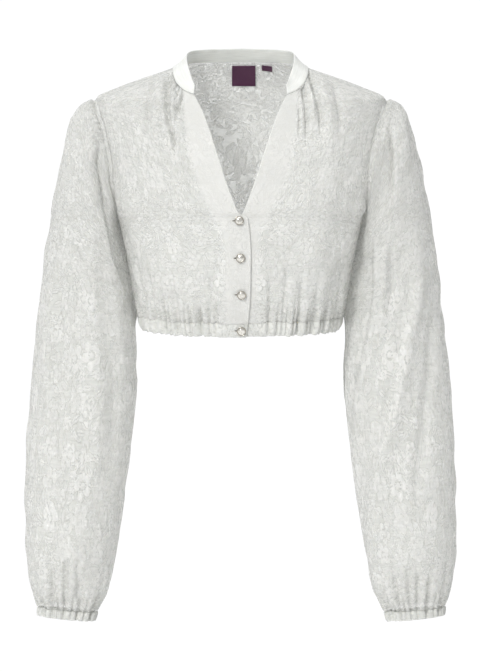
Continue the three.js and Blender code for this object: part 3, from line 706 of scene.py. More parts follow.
def add_node(tree, kind, inputs, output=0, **settings):
    """Adds a node with its settings and inputs, and gives back one of its outputs."""
    node = tree.nodes.new("ShaderNode" + kind)
    for name, value in settings.items():
        setattr(node, name, value)
    set_inputs(tree, node, inputs)
    return node.outputs[output]


def new_material(name):
    """An empty material, its node tree and its principled shader."""
    material = bpy.data.materials.new(name)
    material.use_nodes = True
    shader = material.node_tree.nodes["Principled BSDF"]
    return material, material.node_tree, shader


def cloth_place(tree):
    """Where a point lies on the cut cloth, in millimetres."""
    place = add_node(tree, "UVMap", {}, uv_map="cloth")
    return add_node(tree, "VectorMath", {0: place, "Scale": 1000.0}, operation="SCALE")


FULL_TURN = 6.28

# The figure of the jacquard, in millimetres on the cloth
FLOWER_APART, FLOWER_RADIUS = 28.0, 13.0
BLOSSOM_APART, BLOSSOM_RADIUS = 16.0, 5.2
LEAF_APART, LEAF_LONG, LEAF_WIDE = 10.5, 6.8, 2.4


def flower_figure(tree, place, apart, radius, petals):
    """Open flowers, one to each cell, with rounded petals, slits between them and a small eye."""
    cell = add_node(tree, "TexVoronoi", {"Vector": place, "Scale": 1 / apart, "Randomness": 0.7},
                    voronoi_dimensions="2D").node
    away = add_node(tree, "VectorMath", {0: place, 1: cell.outputs["Position"]}, operation="SUBTRACT")
    parts = add_node(tree, "SeparateXYZ", {0: away}).node
    angle = add_node(tree, "Math", {0: parts.outputs[1], 1: parts.outputs[0]}, operation="ARCTAN2")
    length = add_node(tree, "VectorMath", {0: away}, 1, operation="LENGTH")
    chance = add_node(tree, "SeparateColor", {0: cell.outputs["Color"]}).node
    turn = add_node(tree, "Math", {0: chance.outputs[0], 1: FULL_TURN}, operation="MULTIPLY")
    wave = add_node(tree, "Math", {0: angle, 1: petals / 2, 2: turn}, operation="MULTIPLY_ADD")
    lobe = add_node(tree, "Math", {0: wave}, operation="COSINE")
    lobe = add_node(tree, "Math", {0: lobe}, operation="ABSOLUTE")
    lobe = add_node(tree, "Math", {0: lobe, 1: 0.6}, operation="POWER")
    reach = add_node(tree, "Math", {0: lobe, 1: 0.55 * radius, 2: 0.45 * radius},
                     operation="MULTIPLY_ADD")
    size = add_node(tree, "MapRange", {0: chance.outputs[1], 3: 0.55, 4: 1.05})
    reach = add_node(tree, "Math", {0: reach, 1: size}, operation="MULTIPLY")
    share = add_node(tree, "Math", {0: length, 1: reach}, operation="DIVIDE")
    body = add_node(tree, "MapRange", {0: share, 1: 1.08, 2: 0.84, 3: 0.0, 4: 1.0},
                    interpolation_type="SMOOTHSTEP")
    ring = add_node(tree, "Math", {0: length, 1: 0.26 * radius}, operation="SUBTRACT")
    ring = add_node(tree, "Math", {0: ring}, operation="ABSOLUTE")
    eye = add_node(tree, "MapRange", {0: ring, 1: 0.04 * radius, 2: 0.1 * radius, 3: 0.25, 4: 1.0})
    return add_node(tree, "Math", {0: body, 1: eye}, operation="MULTIPLY")


def leaf_figure(tree, place, apart, long, wide, seed):
    """Pointed leaves turned every way, one to each cell, each with a midrib."""
    moved = add_node(tree, "VectorMath", {0: place, 1: (seed * 7.3, seed * 4.1, 0)}, operation="ADD")
    cell = add_node(tree, "TexVoronoi", {"Vector": moved, "Scale": 1 / apart, "Randomness": 0.85},
                    voronoi_dimensions="2D").node
    away = add_node(tree, "VectorMath", {0: moved, 1: cell.outputs["Position"]}, operation="SUBTRACT")
    chance = add_node(tree, "SeparateColor", {0: cell.outputs["Color"]}).node
    turn = add_node(tree, "Math", {0: chance.outputs[0], 1: FULL_TURN}, operation="MULTIPLY")
    turned = add_node(tree, "VectorRotate", {"Vector": away, "Angle": turn}, rotation_type="Z_AXIS")
    parts = add_node(tree, "SeparateXYZ", {0: turned}).node
    lengthwise = add_node(tree, "Math", {0: parts.outputs[0], 1: long}, operation="DIVIDE")
    lengthwise = add_node(tree, "Math", {0: lengthwise, 1: 2.0}, operation="POWER")
    across = add_node(tree, "Math", {0: parts.outputs[1]}, operation="ABSOLUTE")
    share = add_node(tree, "Math", {0: across, 1: 1 / wide, 2: lengthwise}, operation="MULTIPLY_ADD")
    blade = add_node(tree, "MapRange", {0: share, 1: 1.12, 2: 0.7, 3: 0.0, 4: 1.0},
                     interpolation_type="SMOOTHSTEP")
    rib = add_node(tree, "MapRange", {0: across, 1: 0.1, 2: 0.5, 3: 0.35, 4: 1.0})
    return add_node(tree, "Math", {0: blade, 1: rib}, operation="MULTIPLY")


def jacquard_figure(tree, place):
    """The whole figure, 0 on the sheer ground and 1 on the dense weave."""
    bend = add_node(tree, "TexNoise", {"Vector": place, "Scale": 0.11, "Detail": 2.0}, 1,
                    noise_dimensions="2D")
    bend = add_node(tree, "VectorMath", {0: bend, 1: (0.5, 0.5, 0.5)}, operation="SUBTRACT")
    bend = add_node(tree, "VectorMath", {0: bend, "Scale": 2.4}, operation="SCALE")
    bent = add_node(tree, "VectorMath", {0: place, 1: bend}, operation="ADD")
    figure = flower_figure(tree, bent, FLOWER_APART, FLOWER_RADIUS, 5)
    others = (
        flower_figure(tree, bent, BLOSSOM_APART, BLOSSOM_RADIUS, 5),
        leaf_figure(tree, bent, LEAF_APART, LEAF_LONG, LEAF_WIDE, 1),
    )
    for other in others:
        figure = add_node(tree, "Math", {0: figure, 1: other}, operation="MAXIMUM")
    # Stems wander between the flowers, along the middle heights of a slow noise
    stem = add_node(tree, "TexNoise", {"Vector": bent, "Scale": 0.075, "Detail": 1.5},
                    noise_dimensions="2D")
    stem = add_node(tree, "Math", {0: stem, 1: 0.5}, operation="SUBTRACT")
    stem = add_node(tree, "Math", {0: stem}, operation="ABSOLUTE")
    stem = add_node(tree, "MapRange", {0: stem, 1: 0.022, 2: 0.008, 3: 0.0, 4: 0.9})
    figure = add_node(tree, "Math", {0: figure, 1: stem}, operation="MAXIMUM")
    # The design has fuller and barer places, about a hand's width apart
    full = add_node(tree, "TexNoise", {"Vector": place, "Scale": 0.022, "Detail": 1.0},
                    noise_dimensions="2D")
    full = add_node(tree, "MapRange", {0: full, 1: 0.36, 2: 0.6, 3: 0.45, 4: 1.0})
    figure = add_node(tree, "Math", {0: figure, 1: full}, operation="MULTIPLY")
    # The edge of each petal and leaf is raised a little and painted as a pale line: partly real relief,
    # partly a painted highlight along the raised edge
    outline_relief_and_painted_highlight = add_node(tree, "Math", {0: figure, 1: 0.5}, operation="SUBTRACT")
    outline_relief_and_painted_highlight = add_node(tree, "Math", {0: outline_relief_and_painted_highlight}, operation="ABSOLUTE")
    outline_relief_and_painted_highlight = add_node(tree, "MapRange", {0: outline_relief_and_painted_highlight, 1: 0.34, 2: 0.08, 3: 0.0, 4: 0.5})
    body = add_node(tree, "Math", {0: figure, 1: 0.5}, operation="MULTIPLY")
    return add_node(tree, "Math", {0: body, 1: outline_relief_and_painted_highlight}, operation="ADD", use_clamp=True)


# Threads lie 0.35 mm apart, which is finer than a pixel of the picture, so slubs are drawn 1.6 mm apart
SLUB_APART, SLUB_LONG = 1.6, 22.0
CRINKLE_APART = 7.5
DENSE_COVER = 0.74
THROUGH_CLOTH = 0.0015


# White cotton is thin enough for light to pass through it, which keeps its folds and its inside pale
LIT_THROUGH = {"Subsurface Weight": 0.55, "Subsurface Radius": (0.92, 0.95, 1.0),
               "Subsurface Scale": THROUGH_CLOTH}


def slub_tone(tree, slub, shade, colour):
    """The colour of plain cotton: its thicker threads are paler than the thin ones between them."""
    tone = add_node(tree, "MapRange", {0: slub, 1: 0.35, 2: 0.7, 3: 0.0, 4: 1.0})
    return add_node(tree, "Mix", {0: tone, 6: shade, 7: colour}, 2, data_type="RGBA")


def slub_threads(tree, place):
    """Thicker weft threads that run across the cloth for a short way."""
    stretched = add_node(tree, "VectorMath", {0: place, 1: (1 / SLUB_LONG, 1 / SLUB_APART, 1)},
                         operation="MULTIPLY")
    return add_node(tree, "TexNoise", {"Vector": stretched, "Scale": 1.0, "Detail": 2.0},
                    noise_dimensions="2D")


def woven_jacquard(name, ground_colour, figure_colour, sheer=1.0, facing_colour=None):
    """Cotton mix jacquard, woven with an open plain ground and a dense floral figure, then lightly crinkled.
    The figure is whiter, more opaque and a little raised, and the ground lets the shade behind it through.
    Where a front has a facing behind it, the facing's colour hides the figure."""
    material, tree, shader = new_material(name)
    place = cloth_place(tree)
    figure = jacquard_figure(tree, place)
    slub = slub_threads(tree, place)
    slub_light = add_node(tree, "MapRange", {0: slub, 1: 0.45, 2: 0.75, 3: 0.0, 4: 0.3})
    crinkle = add_node(tree, "TexNoise", {"Vector": place, "Scale": 1 / CRINKLE_APART, "Detail": 2.0,
                                                    "Distortion": 1.2}, noise_dimensions="2D")
    crinkle = add_node(tree, "Math", {0: crinkle, 1: 0.5}, operation="SUBTRACT")
    crinkle = add_node(tree, "Math", {0: crinkle}, operation="ABSOLUTE")
    crinkle = add_node(tree, "MapRange", {0: crinkle, 1: 0.16, 2: 0.02, 3: 0.0, 4: 1.0})
    curls = add_node(tree, "Math", {0: crinkle, 1: figure}, operation="MULTIPLY")
    dense = add_node(tree, "Math", {0: curls, 1: 0.45, 2: slub_light}, operation="MULTIPLY_ADD")
    dense = add_node(tree, "Math", {0: figure, 1: dense}, operation="ADD", use_clamp=True)
    relief = figure
    if facing_colour:
        faced_to = CUTS["front"]["flat"][0] * FACING_SHARE / MM
        parts = add_node(tree, "SeparateXYZ", {0: place}).node
        faced = add_node(tree, "MapRange", {0: parts.outputs[0], 1: faced_to + 7, 2: faced_to - 5,
                                                      3: 0.0, 4: 0.75}, interpolation_type="SMOOTHSTEP")
        dense = add_node(tree, "Math", {0: dense, 1: faced}, operation="MAXIMUM")
        bare = add_node(tree, "Math", {0: 1.0, 1: faced}, operation="SUBTRACT")
        relief = add_node(tree, "Math", {0: relief, 1: bare}, operation="MULTIPLY")
        curls = add_node(tree, "Math", {0: curls, 1: bare}, operation="MULTIPLY")
    colour = add_node(tree, "Mix", {0: dense, 6: ground_colour, 7: figure_colour}, 2, data_type="RGBA")
    if facing_colour:
        colour = add_node(tree, "Mix", {0: faced, 6: colour, 7: facing_colour}, 2, data_type="RGBA")
    if sheer < 1:
        alpha = add_node(tree, "MapRange", {0: dense, 3: sheer, 4: DENSE_COVER})
        set_inputs(tree, shader, {"Alpha": alpha})
    height = add_node(tree, "Math", {0: curls, 1: 0.8, 2: relief}, operation="MULTIPLY_ADD")
    height = add_node(tree, "Math", {0: slub, 1: 0.2, 2: height}, operation="MULTIPLY_ADD")
    bump = add_node(tree, "Bump", {"Height": height, "Strength": 0.85, "Distance": 0.001})
    set_inputs(tree, shader, {"Base Color": colour, "Normal": bump, "Roughness": 0.82,
                              "Specular IOR Level": 0.35, "Sheen Weight": 0.12, **LIT_THROUGH})
    return material


def jacquard_wrong_side(name, colour, shade, cover):
    """The wrong side of the jacquard: the weft floats even out, so only slubs show and it covers evenly."""
    material, tree, shader = new_material(name)
    slub = slub_threads(tree, cloth_place(tree))
    bump = add_node(tree, "Bump", {"Height": slub, "Strength": 0.4, "Distance": 0.0005})
    set_inputs(tree, shader, {"Base Color": slub_tone(tree, slub, shade, colour), "Normal": bump,
                              "Alpha": cover, "Roughness": 0.85, "Specular IOR Level": 0.3, **LIT_THROUGH})
    return material


def doubled_lawn(name, colour, shade):
    """Two layers of the same cotton, pressed flat: opaque and smooth, with only its slubs to see."""
    material, tree, shader = new_material(name)
    place = cloth_place(tree)
    slub = slub_threads(tree, place)
    weave = add_node(tree, "TexNoise", {"Vector": place, "Scale": 0.5, "Detail": 4.0},
                     noise_dimensions="2D")
    height = add_node(tree, "Math", {0: slub, 1: 0.6, 2: weave}, operation="MULTIPLY_ADD")
    bump = add_node(tree, "Bump", {"Height": height, "Strength": 0.35, "Distance": 0.0005})
    set_inputs(tree, shader, {"Base Color": slub_tone(tree, slub, shade, colour), "Normal": bump,
                              "Roughness": 0.8, "Specular IOR Level": 0.35, **LIT_THROUGH})
    return material


def moulded_pearl(name, colour, shade, rim):
    """Polyester, moulded with pearl powder and polished: glossy, with cloudy streaks, and a rim painted
    greyer as a painted dark reflection.
    """
    material, tree, shader = new_material(name)
    place = add_node(tree, "UVMap", {}, uv_map="cloth")
    parts = add_node(tree, "SeparateXYZ", {0: place}).node
    spot = add_node(tree, "TexCoord", {}, 3)
    cloud = add_node(tree, "TexNoise", {"Vector": spot, "Scale": 420.0, "Detail": 3.0,
                                                  "Distortion": 1.6})
    cloud = add_node(tree, "MapRange", {0: cloud, 1: 0.35, 2: 0.66, 3: 0.0, 4: 1.0})
    pearl = add_node(tree, "Mix", {0: cloud, 6: shade, 7: colour}, 2, data_type="RGBA")
    # Painted dark reflection: the rim and the turn below the dome take the greyer rim colour
    edge = add_node(tree, "MapRange", {0: parts.outputs[1], 1: 0.74, 2: 0.66, 3: 0.0, 4: 0.9})
    mixed = add_node(tree, "Mix", {0: edge, 6: pearl, 7: rim}, 2, data_type="RGBA")
    bump = add_node(tree, "Bump", {"Height": cloud, "Strength": 0.15, "Distance": 0.0002})
    set_inputs(tree, shader, {"Base Color": mixed, "Normal": bump, "Roughness": 0.16, "IOR": 1.56,
                              "Metallic": 0.7, "Coat Weight": 0.8, "Coat Roughness": 0.05})
    return material


# A damask tape has ribs 0.4 mm apart, drawn 0.9 mm apart so that they show
TAPE_RIB_APART = 0.9


def woven_tape(name, colour, light):
    """Polyester damask tape, woven plain: fine ribs across and a slight gloss."""
    material, tree, shader = new_material(name)
    place = cloth_place(tree)
    ribs = add_node(tree, "TexWave", {"Vector": place, "Scale": 1 / TAPE_RIB_APART / 3.14,
                                                "Distortion": 0.4}, bands_direction="Y")
    speck = add_node(tree, "TexNoise", {"Vector": place, "Scale": 1.1, "Detail": 3.0},
                     noise_dimensions="2D")
    tone = add_node(tree, "Math", {0: ribs, 1: speck}, operation="MULTIPLY")
    mixed = add_node(tree, "Mix", {0: tone, 6: colour, 7: light}, 2, data_type="RGBA")
    bump = add_node(tree, "Bump", {"Height": tone, "Strength": 0.5, "Distance": 0.0003})
    set_inputs(tree, shader, {"Base Color": mixed, "Normal": bump, "Roughness": 0.5})
    return material


def spun_thread_and_painted_shade(name, colour, shade):
    """Spun polyester sewing thread: matt, with the light and dark of its twist. It also mottles the painted
    shade in the buttonholes.
    """
    material, tree, shader = new_material(name)
    spot = add_node(tree, "TexCoord", {}, 3)
    twist = add_node(tree, "TexNoise", {"Vector": spot, "Scale": 1800.0, "Detail": 2.0})
    mixed = add_node(tree, "Mix", {0: twist, 6: shade, 7: colour}, 2, data_type="RGBA")
    bump = add_node(tree, "Bump", {"Height": twist, "Strength": 0.4, "Distance": 0.0002})
    set_inputs(tree, shader, {"Base Color": mixed, "Normal": bump, "Roughness": 0.7})
    return material


def painted_floor(name, colour, shade):
    """A studio floor rolled with matt white paint: almost even, with a faint roller texture."""
    material, tree, shader = new_material(name)
    spot = add_node(tree, "TexCoord", {}, 3)
    cloud = add_node(tree, "TexNoise", {"Vector": spot, "Scale": 0.7, "Detail": 2.0})
    mixed = add_node(tree, "Mix", {0: cloud, 6: shade, 7: colour}, 2, data_type="RGBA")
    set_inputs(tree, shader, {"Base Color": mixed, "Roughness": 0.9})
    return material


# Each finish: its recipe, its material's name, and the properties that the recipe takes in turn
FINISHES = {
    "sheer": (woven_jacquard, "cotton_jacquard_sheer", "ground figure sheer"),
    "faced": (woven_jacquard, "cotton_jacquard_faced", "ground figure sheer facing"),
    "wrong": (jacquard_wrong_side, "cotton_jacquard_wrong_side", "figure ground sheer"),
    "cased": (woven_jacquard, "cotton_jacquard_cased", "cased_ground cased_figure"),
    "facing": (doubled_lawn, "cotton_lawn_doubled", "facing facing_shade"),
    "collar": (doubled_lawn, "cotton_lawn_interfaced", "collar collar_shade"),
    "pearl": (moulded_pearl, "polyester_pearl_moulded", "pearl pearl_shade pearl_rim"),
    "tape": (woven_tape, "damask_tape_woven", "tape tape_light"),
    "thread": (spun_thread_and_painted_shade, "sewing_thread_spun", "thread thread_shade"),
    "tape_thread": (spun_thread_and_painted_shade, "label_thread_spun", "tape_light tape"),
    # The buttonholes' slits are painted shade, made with the thread recipe
    "slit": (spun_thread_and_painted_shade, "buttonhole_gimp_spun", "slit slit_shade"),
    "floor": (painted_floor, "studio_floor_painted", "floor floor_shade"),
}
made_materials = {}


def finish(kind):
    """The material of that kind, made the first time it is asked for."""
    if kind not in made_materials:
        recipe, name, properties = FINISHES[kind]
        values = [getattr(bpy.context.scene.blouse_colours, each) for each in properties.split()]
        values = [value if isinstance(value, float) else tuple(value) for value in values]
        made_materials[kind] = recipe(name, *values)
    return made_materials[kind]


# Cut sizes of the cloth, in metres: width, length, and the area where the cut isn't a rectangle
CUTS = {
    "front": {"flat": (0.215, 0.325), "area": 0.055},
    "back": {"flat": (0.46, 0.335), "area": 0.122},
    "sleeve": {"flat": (0.43, 0.63), "area": 0.235},
    "facing": {"flat": (0.06, 0.32), "area": 0.0095},
    "hem_front": {"flat": (0.25, 0.019), "area": None},
    "hem_back": {"flat": (0.44, 0.019), "area": None},
    "cuff": {"flat": (0.24, 0.0145), "area": None},
    "collar": {"flat": (0.42, 0.021), "area": None},
    "neck_label": {"flat": (0.0286, 0.0261), "area": None},
    "size_tab": {"flat": (0.0126, 0.01), "area": 0.000088},
}


# Width and length of the pattern on casings and sleeves. The length is negative where the rows run down
HEM_PATTERN = {"front": (0.245, 0.018), "back": (0.46, 0.018)}
SLEEVE_PATTERN, CUFF_PATTERN = (0.43, -0.63), (0.43, -0.02)

# How finely each piece is laid out
FRONT_ROWS, FRONT_COLUMNS = 124, 240
BACK_ROWS, BACK_COLUMNS = 110, 340
SLEEVE_ROWS, SLEEVE_COLUMNS = 160, 240
CASING_ROWS = 16
COLLAR_ROWS, COLLAR_COLUMNS = 16, 260
LABEL_ROWS, LABEL_COLUMNS = 24, 26
FACING_COLUMNS, EDGE_STITCH_ROWS = 30, 400

# The placket stays flat: gathers begin this far from the centre line on each front
GATHERS_START = {"right": 29, "left": 33}
SIDES = {"right": -1, "left": 1}
HEM_SEEDS = {"right": 11, "left": 23}
BACK_SEED = 41
CUFF_SEEDS = {"right": 63, "left": 65}
FRONT_GATHERS, BACK_GATHERS, CUFF_GATHERS = 15, 30, 26
NECK_GATHERS, HEAD_GATHERS = 9, 24
# Gathers at the collar and the sleeve heads take the seed of the hem and the cuff, moved by this much
NECK_SEED_ON, HEAD_SEED_ON = 5, -4
# Half the hem's width, the width over which gathers start, and the share of a panel that fades at its seam
HEM_HALF = 124
PLACKET_FADE, SIDE_FADE = 8, 0.03
# Gathers at the collar lie on this part of a front's width, and run from 10 to 36 mm down
NECK_FROM, NECK_WIDE, NECK_RUN, NECK_MORE, NECK_FADE = 0.2, 0.62, 10, 26, 0.2
# Gathers at a sleeve's head lie up to 88 degrees from its outer side, and run from 9 to 33 mm down
HEAD_HALF, HEAD_FADE, HEAD_RUN, HEAD_MORE = 88, 20, 9, 24
# A sleeve dips in at the armhole seam, most 3 mm from it, and its unevenness fades in over 30 mm
ARMHOLE_DIP, ARMHOLE_DIP_AT, ARMHOLE_DIP_WIDE, SLEEVE_PLAIN = 2.4, 3, 2, 30
# The back's unevenness starts below the collar, and the collar stand's above its seam. The stand is rounded
# across, but not at its ends
BACK_PLAIN_TO, BACK_PLAIN_FADE = -12, 30
COLLAR_ROUNDING, COLLAR_END_FADE, COLLAR_SEAM_FADE = 0.5, 0.02, 0.3
# Where a sleeve lies behind the bodice: from one height to another, each with its fade, past this angle
BODICE_FROM, BODICE_FROM_FADE, BODICE_TO, BODICE_TO_FADE = -176, 16, -322, 40
BODICE_ANGLE, BODICE_ANGLE_FADE = 110, 40


def front_gathers(name, points, above, depth):
    """The gathers of a front next to the hem's elastic, with none at the buttons."""
    across, start = points[..., 0], GATHERS_START[name]
    angle = np.arcsin(np.clip(across / value_at(BODY, "half", points[..., 2]), -1, 1))
    first = math.asin(start / HEM_HALF)
    position = (angle - first) / (math.pi / 2 - first)
    flat_front = ease((across - start + PLACKET_FADE / 2) / PLACKET_FADE)
    return edge_gathers(position, above, FRONT_GATHERS, HEM_SEEDS[name], depth) * flat_front


def front_heights(name, points, shares, sizes):
    """The folds, gathers and seams of a front, with points on the wearer's left."""
    across, z = points[..., 0], points[..., 2]
    shares = shares[None, :]
    height = front_gathers(name, points, np.maximum(z - HEM_SEAM_Z, 0), sizes.hem_gathers / MM)
    from_neck = np.linalg.norm(points - points[-1:], axis=-1)
    neck_share = (shares - NECK_FROM) / NECK_WIDE
    ripple, reach = gathers(neck_share, NECK_GATHERS, HEM_SEEDS[name] + NECK_SEED_ON)
    ripple = ripple * sizes.neck_gathers / MM * (1 - ease(from_neck / (NECK_RUN + NECK_MORE * reach)))
    height = height + ripple * ease(neck_share / 0.06 + NECK_FADE) * ease((1 - neck_share) / NECK_FADE)
    clear_of_facing = ease((shares - FACING_SHARE) / SIDE_FADE)
    creases = crease_heights(FRONT_CREASES[name], across * SIDES[name], z) * sizes.creases
    soft = unevenness(points * (SIDES[name], 1, 1), "front")
    return (height + (creases + soft) * clear_of_facing) * ease((1 - shares) / SIDE_FADE)


class BLOUSE_OT_fronts(bpy.types.Operator):
    """Builds the two fronts, the right one lapped over the left"""
    bl_idname = "blouse.fronts"
    bl_label = "Fronts"

    def execute(self, context):
        sizes = context.scene.blouse_sizes
        rows = np.linspace(0, NECK_ROW, FRONT_ROWS)
        shares = np.linspace(0, 1, FRONT_COLUMNS)
        for name, side in SIDES.items():
            points = front_grid(side, rows, shares)
            points = displaced(points, front_heights(name, points, shares, sizes))
            points[..., 0] *= side
            made = shell(f"front_{name}_cloth", points, sizes.cloth / MM, finish("faced"),
                         CUTS["front"]["flat"], flip=side < 0, wrong_side=finish("wrong"))
            dress(made, "cloth", f"front_{name}")
        return {"FINISHED"}


class BLOUSE_OT_facings(bpy.types.Operator):
    """Builds the facings that show through the fronts along the V and the front edges"""
    bl_idname = "blouse.facings"
    bl_label = "Facings"

    def execute(self, context):
        sizes = context.scene.blouse_sizes
        rows = np.linspace(0, NECK_ROW, FRONT_ROWS)
        shares = np.linspace(0, FACING_SHARE, FACING_COLUMNS)
        for name, side in SIDES.items():
            points = front_grid(side, rows, shares)
            points = points - body_normal(points, -1) * (SOLID_CLOTH + SEAM_GAP)
            points[..., 0] *= side
            made = shell(f"facing_{name}_cloth", points, sizes.cloth / MM, finish("facing"),
                         CUTS["facing"]["flat"], flip=side < 0)
            dress(made, "facing", f"facing_{name}")
        return {"FINISHED"}


class BLOUSE_OT_back(bpy.types.Operator):
    """Builds the back, gathered at the hem"""
    bl_idname = "blouse.back"
    bl_label = "Back"

    def execute(self, context):
        sizes = context.scene.blouse_sizes
        rows = np.linspace(0, NECK_ROW, BACK_ROWS)
        shares = np.linspace(-1, 1, BACK_COLUMNS)
        points = back_grid(rows, shares)
        across, z = points[..., 0], points[..., 2]
        angle = np.arcsin(np.clip(across / value_at(BODY, "half", z), -1, 1))
        position = angle / math.pi + 0.5
        above = np.maximum(z - HEM_SEAM_Z, 0)
        height = edge_gathers(position, above, BACK_GATHERS, BACK_SEED, sizes.hem_gathers / MM)
        height = height + crease_heights(BACK_CREASES, across, z) * sizes.creases
        height = height + unevenness(points, "back") * ease((BACK_PLAIN_TO - z) / BACK_PLAIN_FADE)
        height = height * ease((1 - np.abs(shares)[None, :]) / SIDE_FADE)
        points = displaced(points, height, flip=True)
        made = shell("back_cloth", points, sizes.cloth / MM, finish("sheer"),
                     CUTS["back"]["flat"], flip=True)
        dress(made, "cloth", "back")
        return {"FINISHED"}


class BLOUSE_OT_hem(bpy.types.Operator):
    """Builds the hem casing, gathered over its elastic, one length for each panel"""
    bl_idname = "blouse.hem"
    bl_label = "Hem casing"

    def execute(self, context):
        sizes = context.scene.blouse_sizes
        levels = np.linspace(0, 1, CASING_ROWS)
        z = mix(HEM_EDGE_Z, HEM_SEAM_Z + CASING_OVERLAP, levels)[:, None]
        swell = casing_swell(levels)[:, None]
        tight = mix(0.5, 1.0, levels)[:, None]
        depth = sizes.hem_gathers / MM
        stitched = []
        for name, side in SIDES.items():
            shares = np.linspace(0, 1, FRONT_COLUMNS)
            points = front_surface(side, z, z, 0 * z, shares)
            height = swell + front_gathers(name, points, 0, depth) * tight
            height = height * ease((1 - shares[None, :]) / SIDE_FADE + 0.1)
            points = displaced(points, height)
            points[..., 1] = np.minimum(points[..., 1], -SEAM_GAP / 2)
            points[..., 0] *= side
            made = shell(f"hem_{name}_cloth", points, sizes.casing / MM, finish("cased"),
                         HEM_PATTERN["front"], flip=side < 0)
            dress(made, "casing", f"hem_{name}")
            stitched.append((points[-2], grid_normals(points, False, side < 0)[-2]))
        shares = np.linspace(-1, 1, BACK_COLUMNS)[None, :]
        points = body_point(value_at(BODY, "half", z) * np.sin(shares * math.pi / 2), z, 1)
        height = swell + edge_gathers(shares / 2 + 0.5, 0, BACK_GATHERS, BACK_SEED, depth) * tight
        height = height * ease((1 - np.abs(shares)) / SIDE_FADE + 0.1)
        points = displaced(points, height, flip=True)
        points[..., 1] = np.maximum(points[..., 1], SEAM_GAP / 2)
        made = shell("hem_back_cloth", points, sizes.casing / MM, finish("cased"), HEM_PATTERN["back"],
                     flip=True)
        dress(made, "casing", "hem_back")
        stitched.append((points[-2], grid_normals(points, False, True)[-2]))
        made = add_stitches("hem_stitches", stitched, finish("thread"), sizes.stitch / MM, sizes.thread / MM)
        dress(made, "casing")
        return {"FINISHED"}


class BLOUSE_OT_collar(bpy.types.Operator):
    """Builds the narrow collar stand, which ends at the V"""
    bl_idname = "blouse.collar"
    bl_label = "Collar stand"

    def execute(self, context):
        sizes = context.scene.blouse_sizes
        shares = np.linspace(0, 1, COLLAR_COLUMNS)
        low = along_curve(COLLAR_SEAM, shares, 0, LEFT_END)
        high = along_curve(COLLAR_TOP, shares, 0, LEFT_END)
        levels = np.linspace(0, 1, COLLAR_ROWS)
        start = SEAM_GAP / np.linalg.norm(high - low, axis=-1)
        level = mix(start[None, :], 1, levels[:, None])[..., None]
        points = mix(low[None], high[None], level)
        ends = ease(np.minimum(shares, 1 - shares) / COLLAR_END_FADE)[None, :]
        rounding = COLLAR_ROUNDING * np.sin(math.pi * levels)[:, None] * ends
        soft = unevenness(points, "collar") * ease(levels[:, None] / COLLAR_SEAM_FADE)
        points = displaced(points, rounding + soft * ends)
        made = shell("collar_stand_cloth", points, sizes.collar / MM, finish("collar"),
                     CUTS["collar"]["flat"])
        dress(made, "facing", "collar_stand")
        normals = grid_normals(points, False, False)
        thick = sizes.collar / MM
        outside = (points[1], normals[1])
        inside = (points[1] - normals[1] * thick, -normals[1])
        top = (points[-3], normals[-3])
        made = add_stitches("collar_stitches", [outside, inside, top], finish("thread"), sizes.stitch / MM,
                            sizes.thread / MM)
        dress(made, "facing")
        return {"FINISHED"}


class BLOUSE_OT_sleeves(bpy.types.Operator):
    """Builds the two balloon sleeves, gathered into the armholes and the cuffs"""
    bl_idname = "blouse.sleeves"
    bl_label = "Sleeves"

    def execute(self, context):
        sizes = context.scene.blouse_sizes
        angles = np.arange(SLEEVE_COLUMNS) * 360 / SLEEVE_COLUMNS
        from_outside = np.abs((angles + 180) % 360 - 180)[None, :]
        last = len(SLEEVE["row"]) - 1
        rows = np.linspace(-1, last, SLEEVE_ROWS)
        body_side = ease((from_outside - BODY_SIDE_ANGLE) / (180 - BODY_SIDE_ANGLE))
        around = angles[None, :] / 360
        for name, side in SIDES.items():
            points = ring_points(np.maximum(rows, 0), SLEEVE, angles)
            head = armhole_points(angles)[None]
            points = mix(points, head, np.clip(-rows, 0, 1)[:, None, None])
            z = points[..., 2]
            steps = np.linalg.norm(np.diff(points, axis=0, prepend=points[:1]), axis=-1)
            from_head = np.cumsum(steps, axis=0)
            to_cuff = from_head[-1:] - from_head
            head_share = (np.where(around < 0.5, from_outside, -from_outside) + HEAD_HALF) / (2 * HEAD_HALF)
            ripple, reach = gathers(head_share, HEAD_GATHERS, CUFF_SEEDS[name] + HEAD_SEED_ON)
            cap = ease((HEAD_HALF - from_outside) / HEAD_FADE)
            fading = 1 - ease(from_head / (HEAD_RUN + HEAD_MORE * reach))
            height = ripple * sizes.head_gathers / MM * cap * fading * ease(from_head / 3)
            height = height + edge_gathers(around, to_cuff, CUFF_GATHERS, CUFF_SEEDS[name],
                                           sizes.cuff_gathers / MM)
            height = height + fold_heights(SLEEVE_FOLDS[name], angles, z) * sizes.creases
            in_front = ease((np.sin(np.radians(angles))[None, :] + 0.05) / 0.2)
            creases = crease_heights(SLEEVE_CREASES[name], points[..., 0] * side, z)
            height = height + creases * sizes.creases * in_front
            height = height + unevenness(points * (side, 1, 1), "sleeve") * ease(from_head / SLEEVE_PLAIN)
            height = np.where(height > 0, height * (1 - body_side), height)
            height = height - ARMHOLE_DIP * np.exp(-((from_head - ARMHOLE_DIP_AT) / ARMHOLE_DIP_WIDE) ** 2)
            points = displaced(points, height, closed=True)
            points = stepped_back(points, SLEEVE_STEPS[name], in_front * ease((from_head - 4) / 22))
            # Between the armhole and the hem, the wall that faces the body lies behind the bodice
            beside = ease((z - BODICE_TO) / BODICE_TO_FADE) * ease((BODICE_FROM - z) / BODICE_FROM_FADE)
            beside = beside * ease((points[..., 1] + 2) / 20) * ease(from_head / 14)
            points[..., 0] -= BEHIND_BODICE * beside * ease((from_outside - BODICE_ANGLE) / BODICE_ANGLE_FADE)
            points[..., 0] *= side
            made = shell(f"sleeve_{name}_cloth", points, sizes.cloth / MM, finish("sheer"),
                         SLEEVE_PATTERN, closed=True, flip=side < 0, wrong_side=finish("wrong"))
            dress(made, "cloth", f"sleeve_{name}")
        return {"FINISHED"}


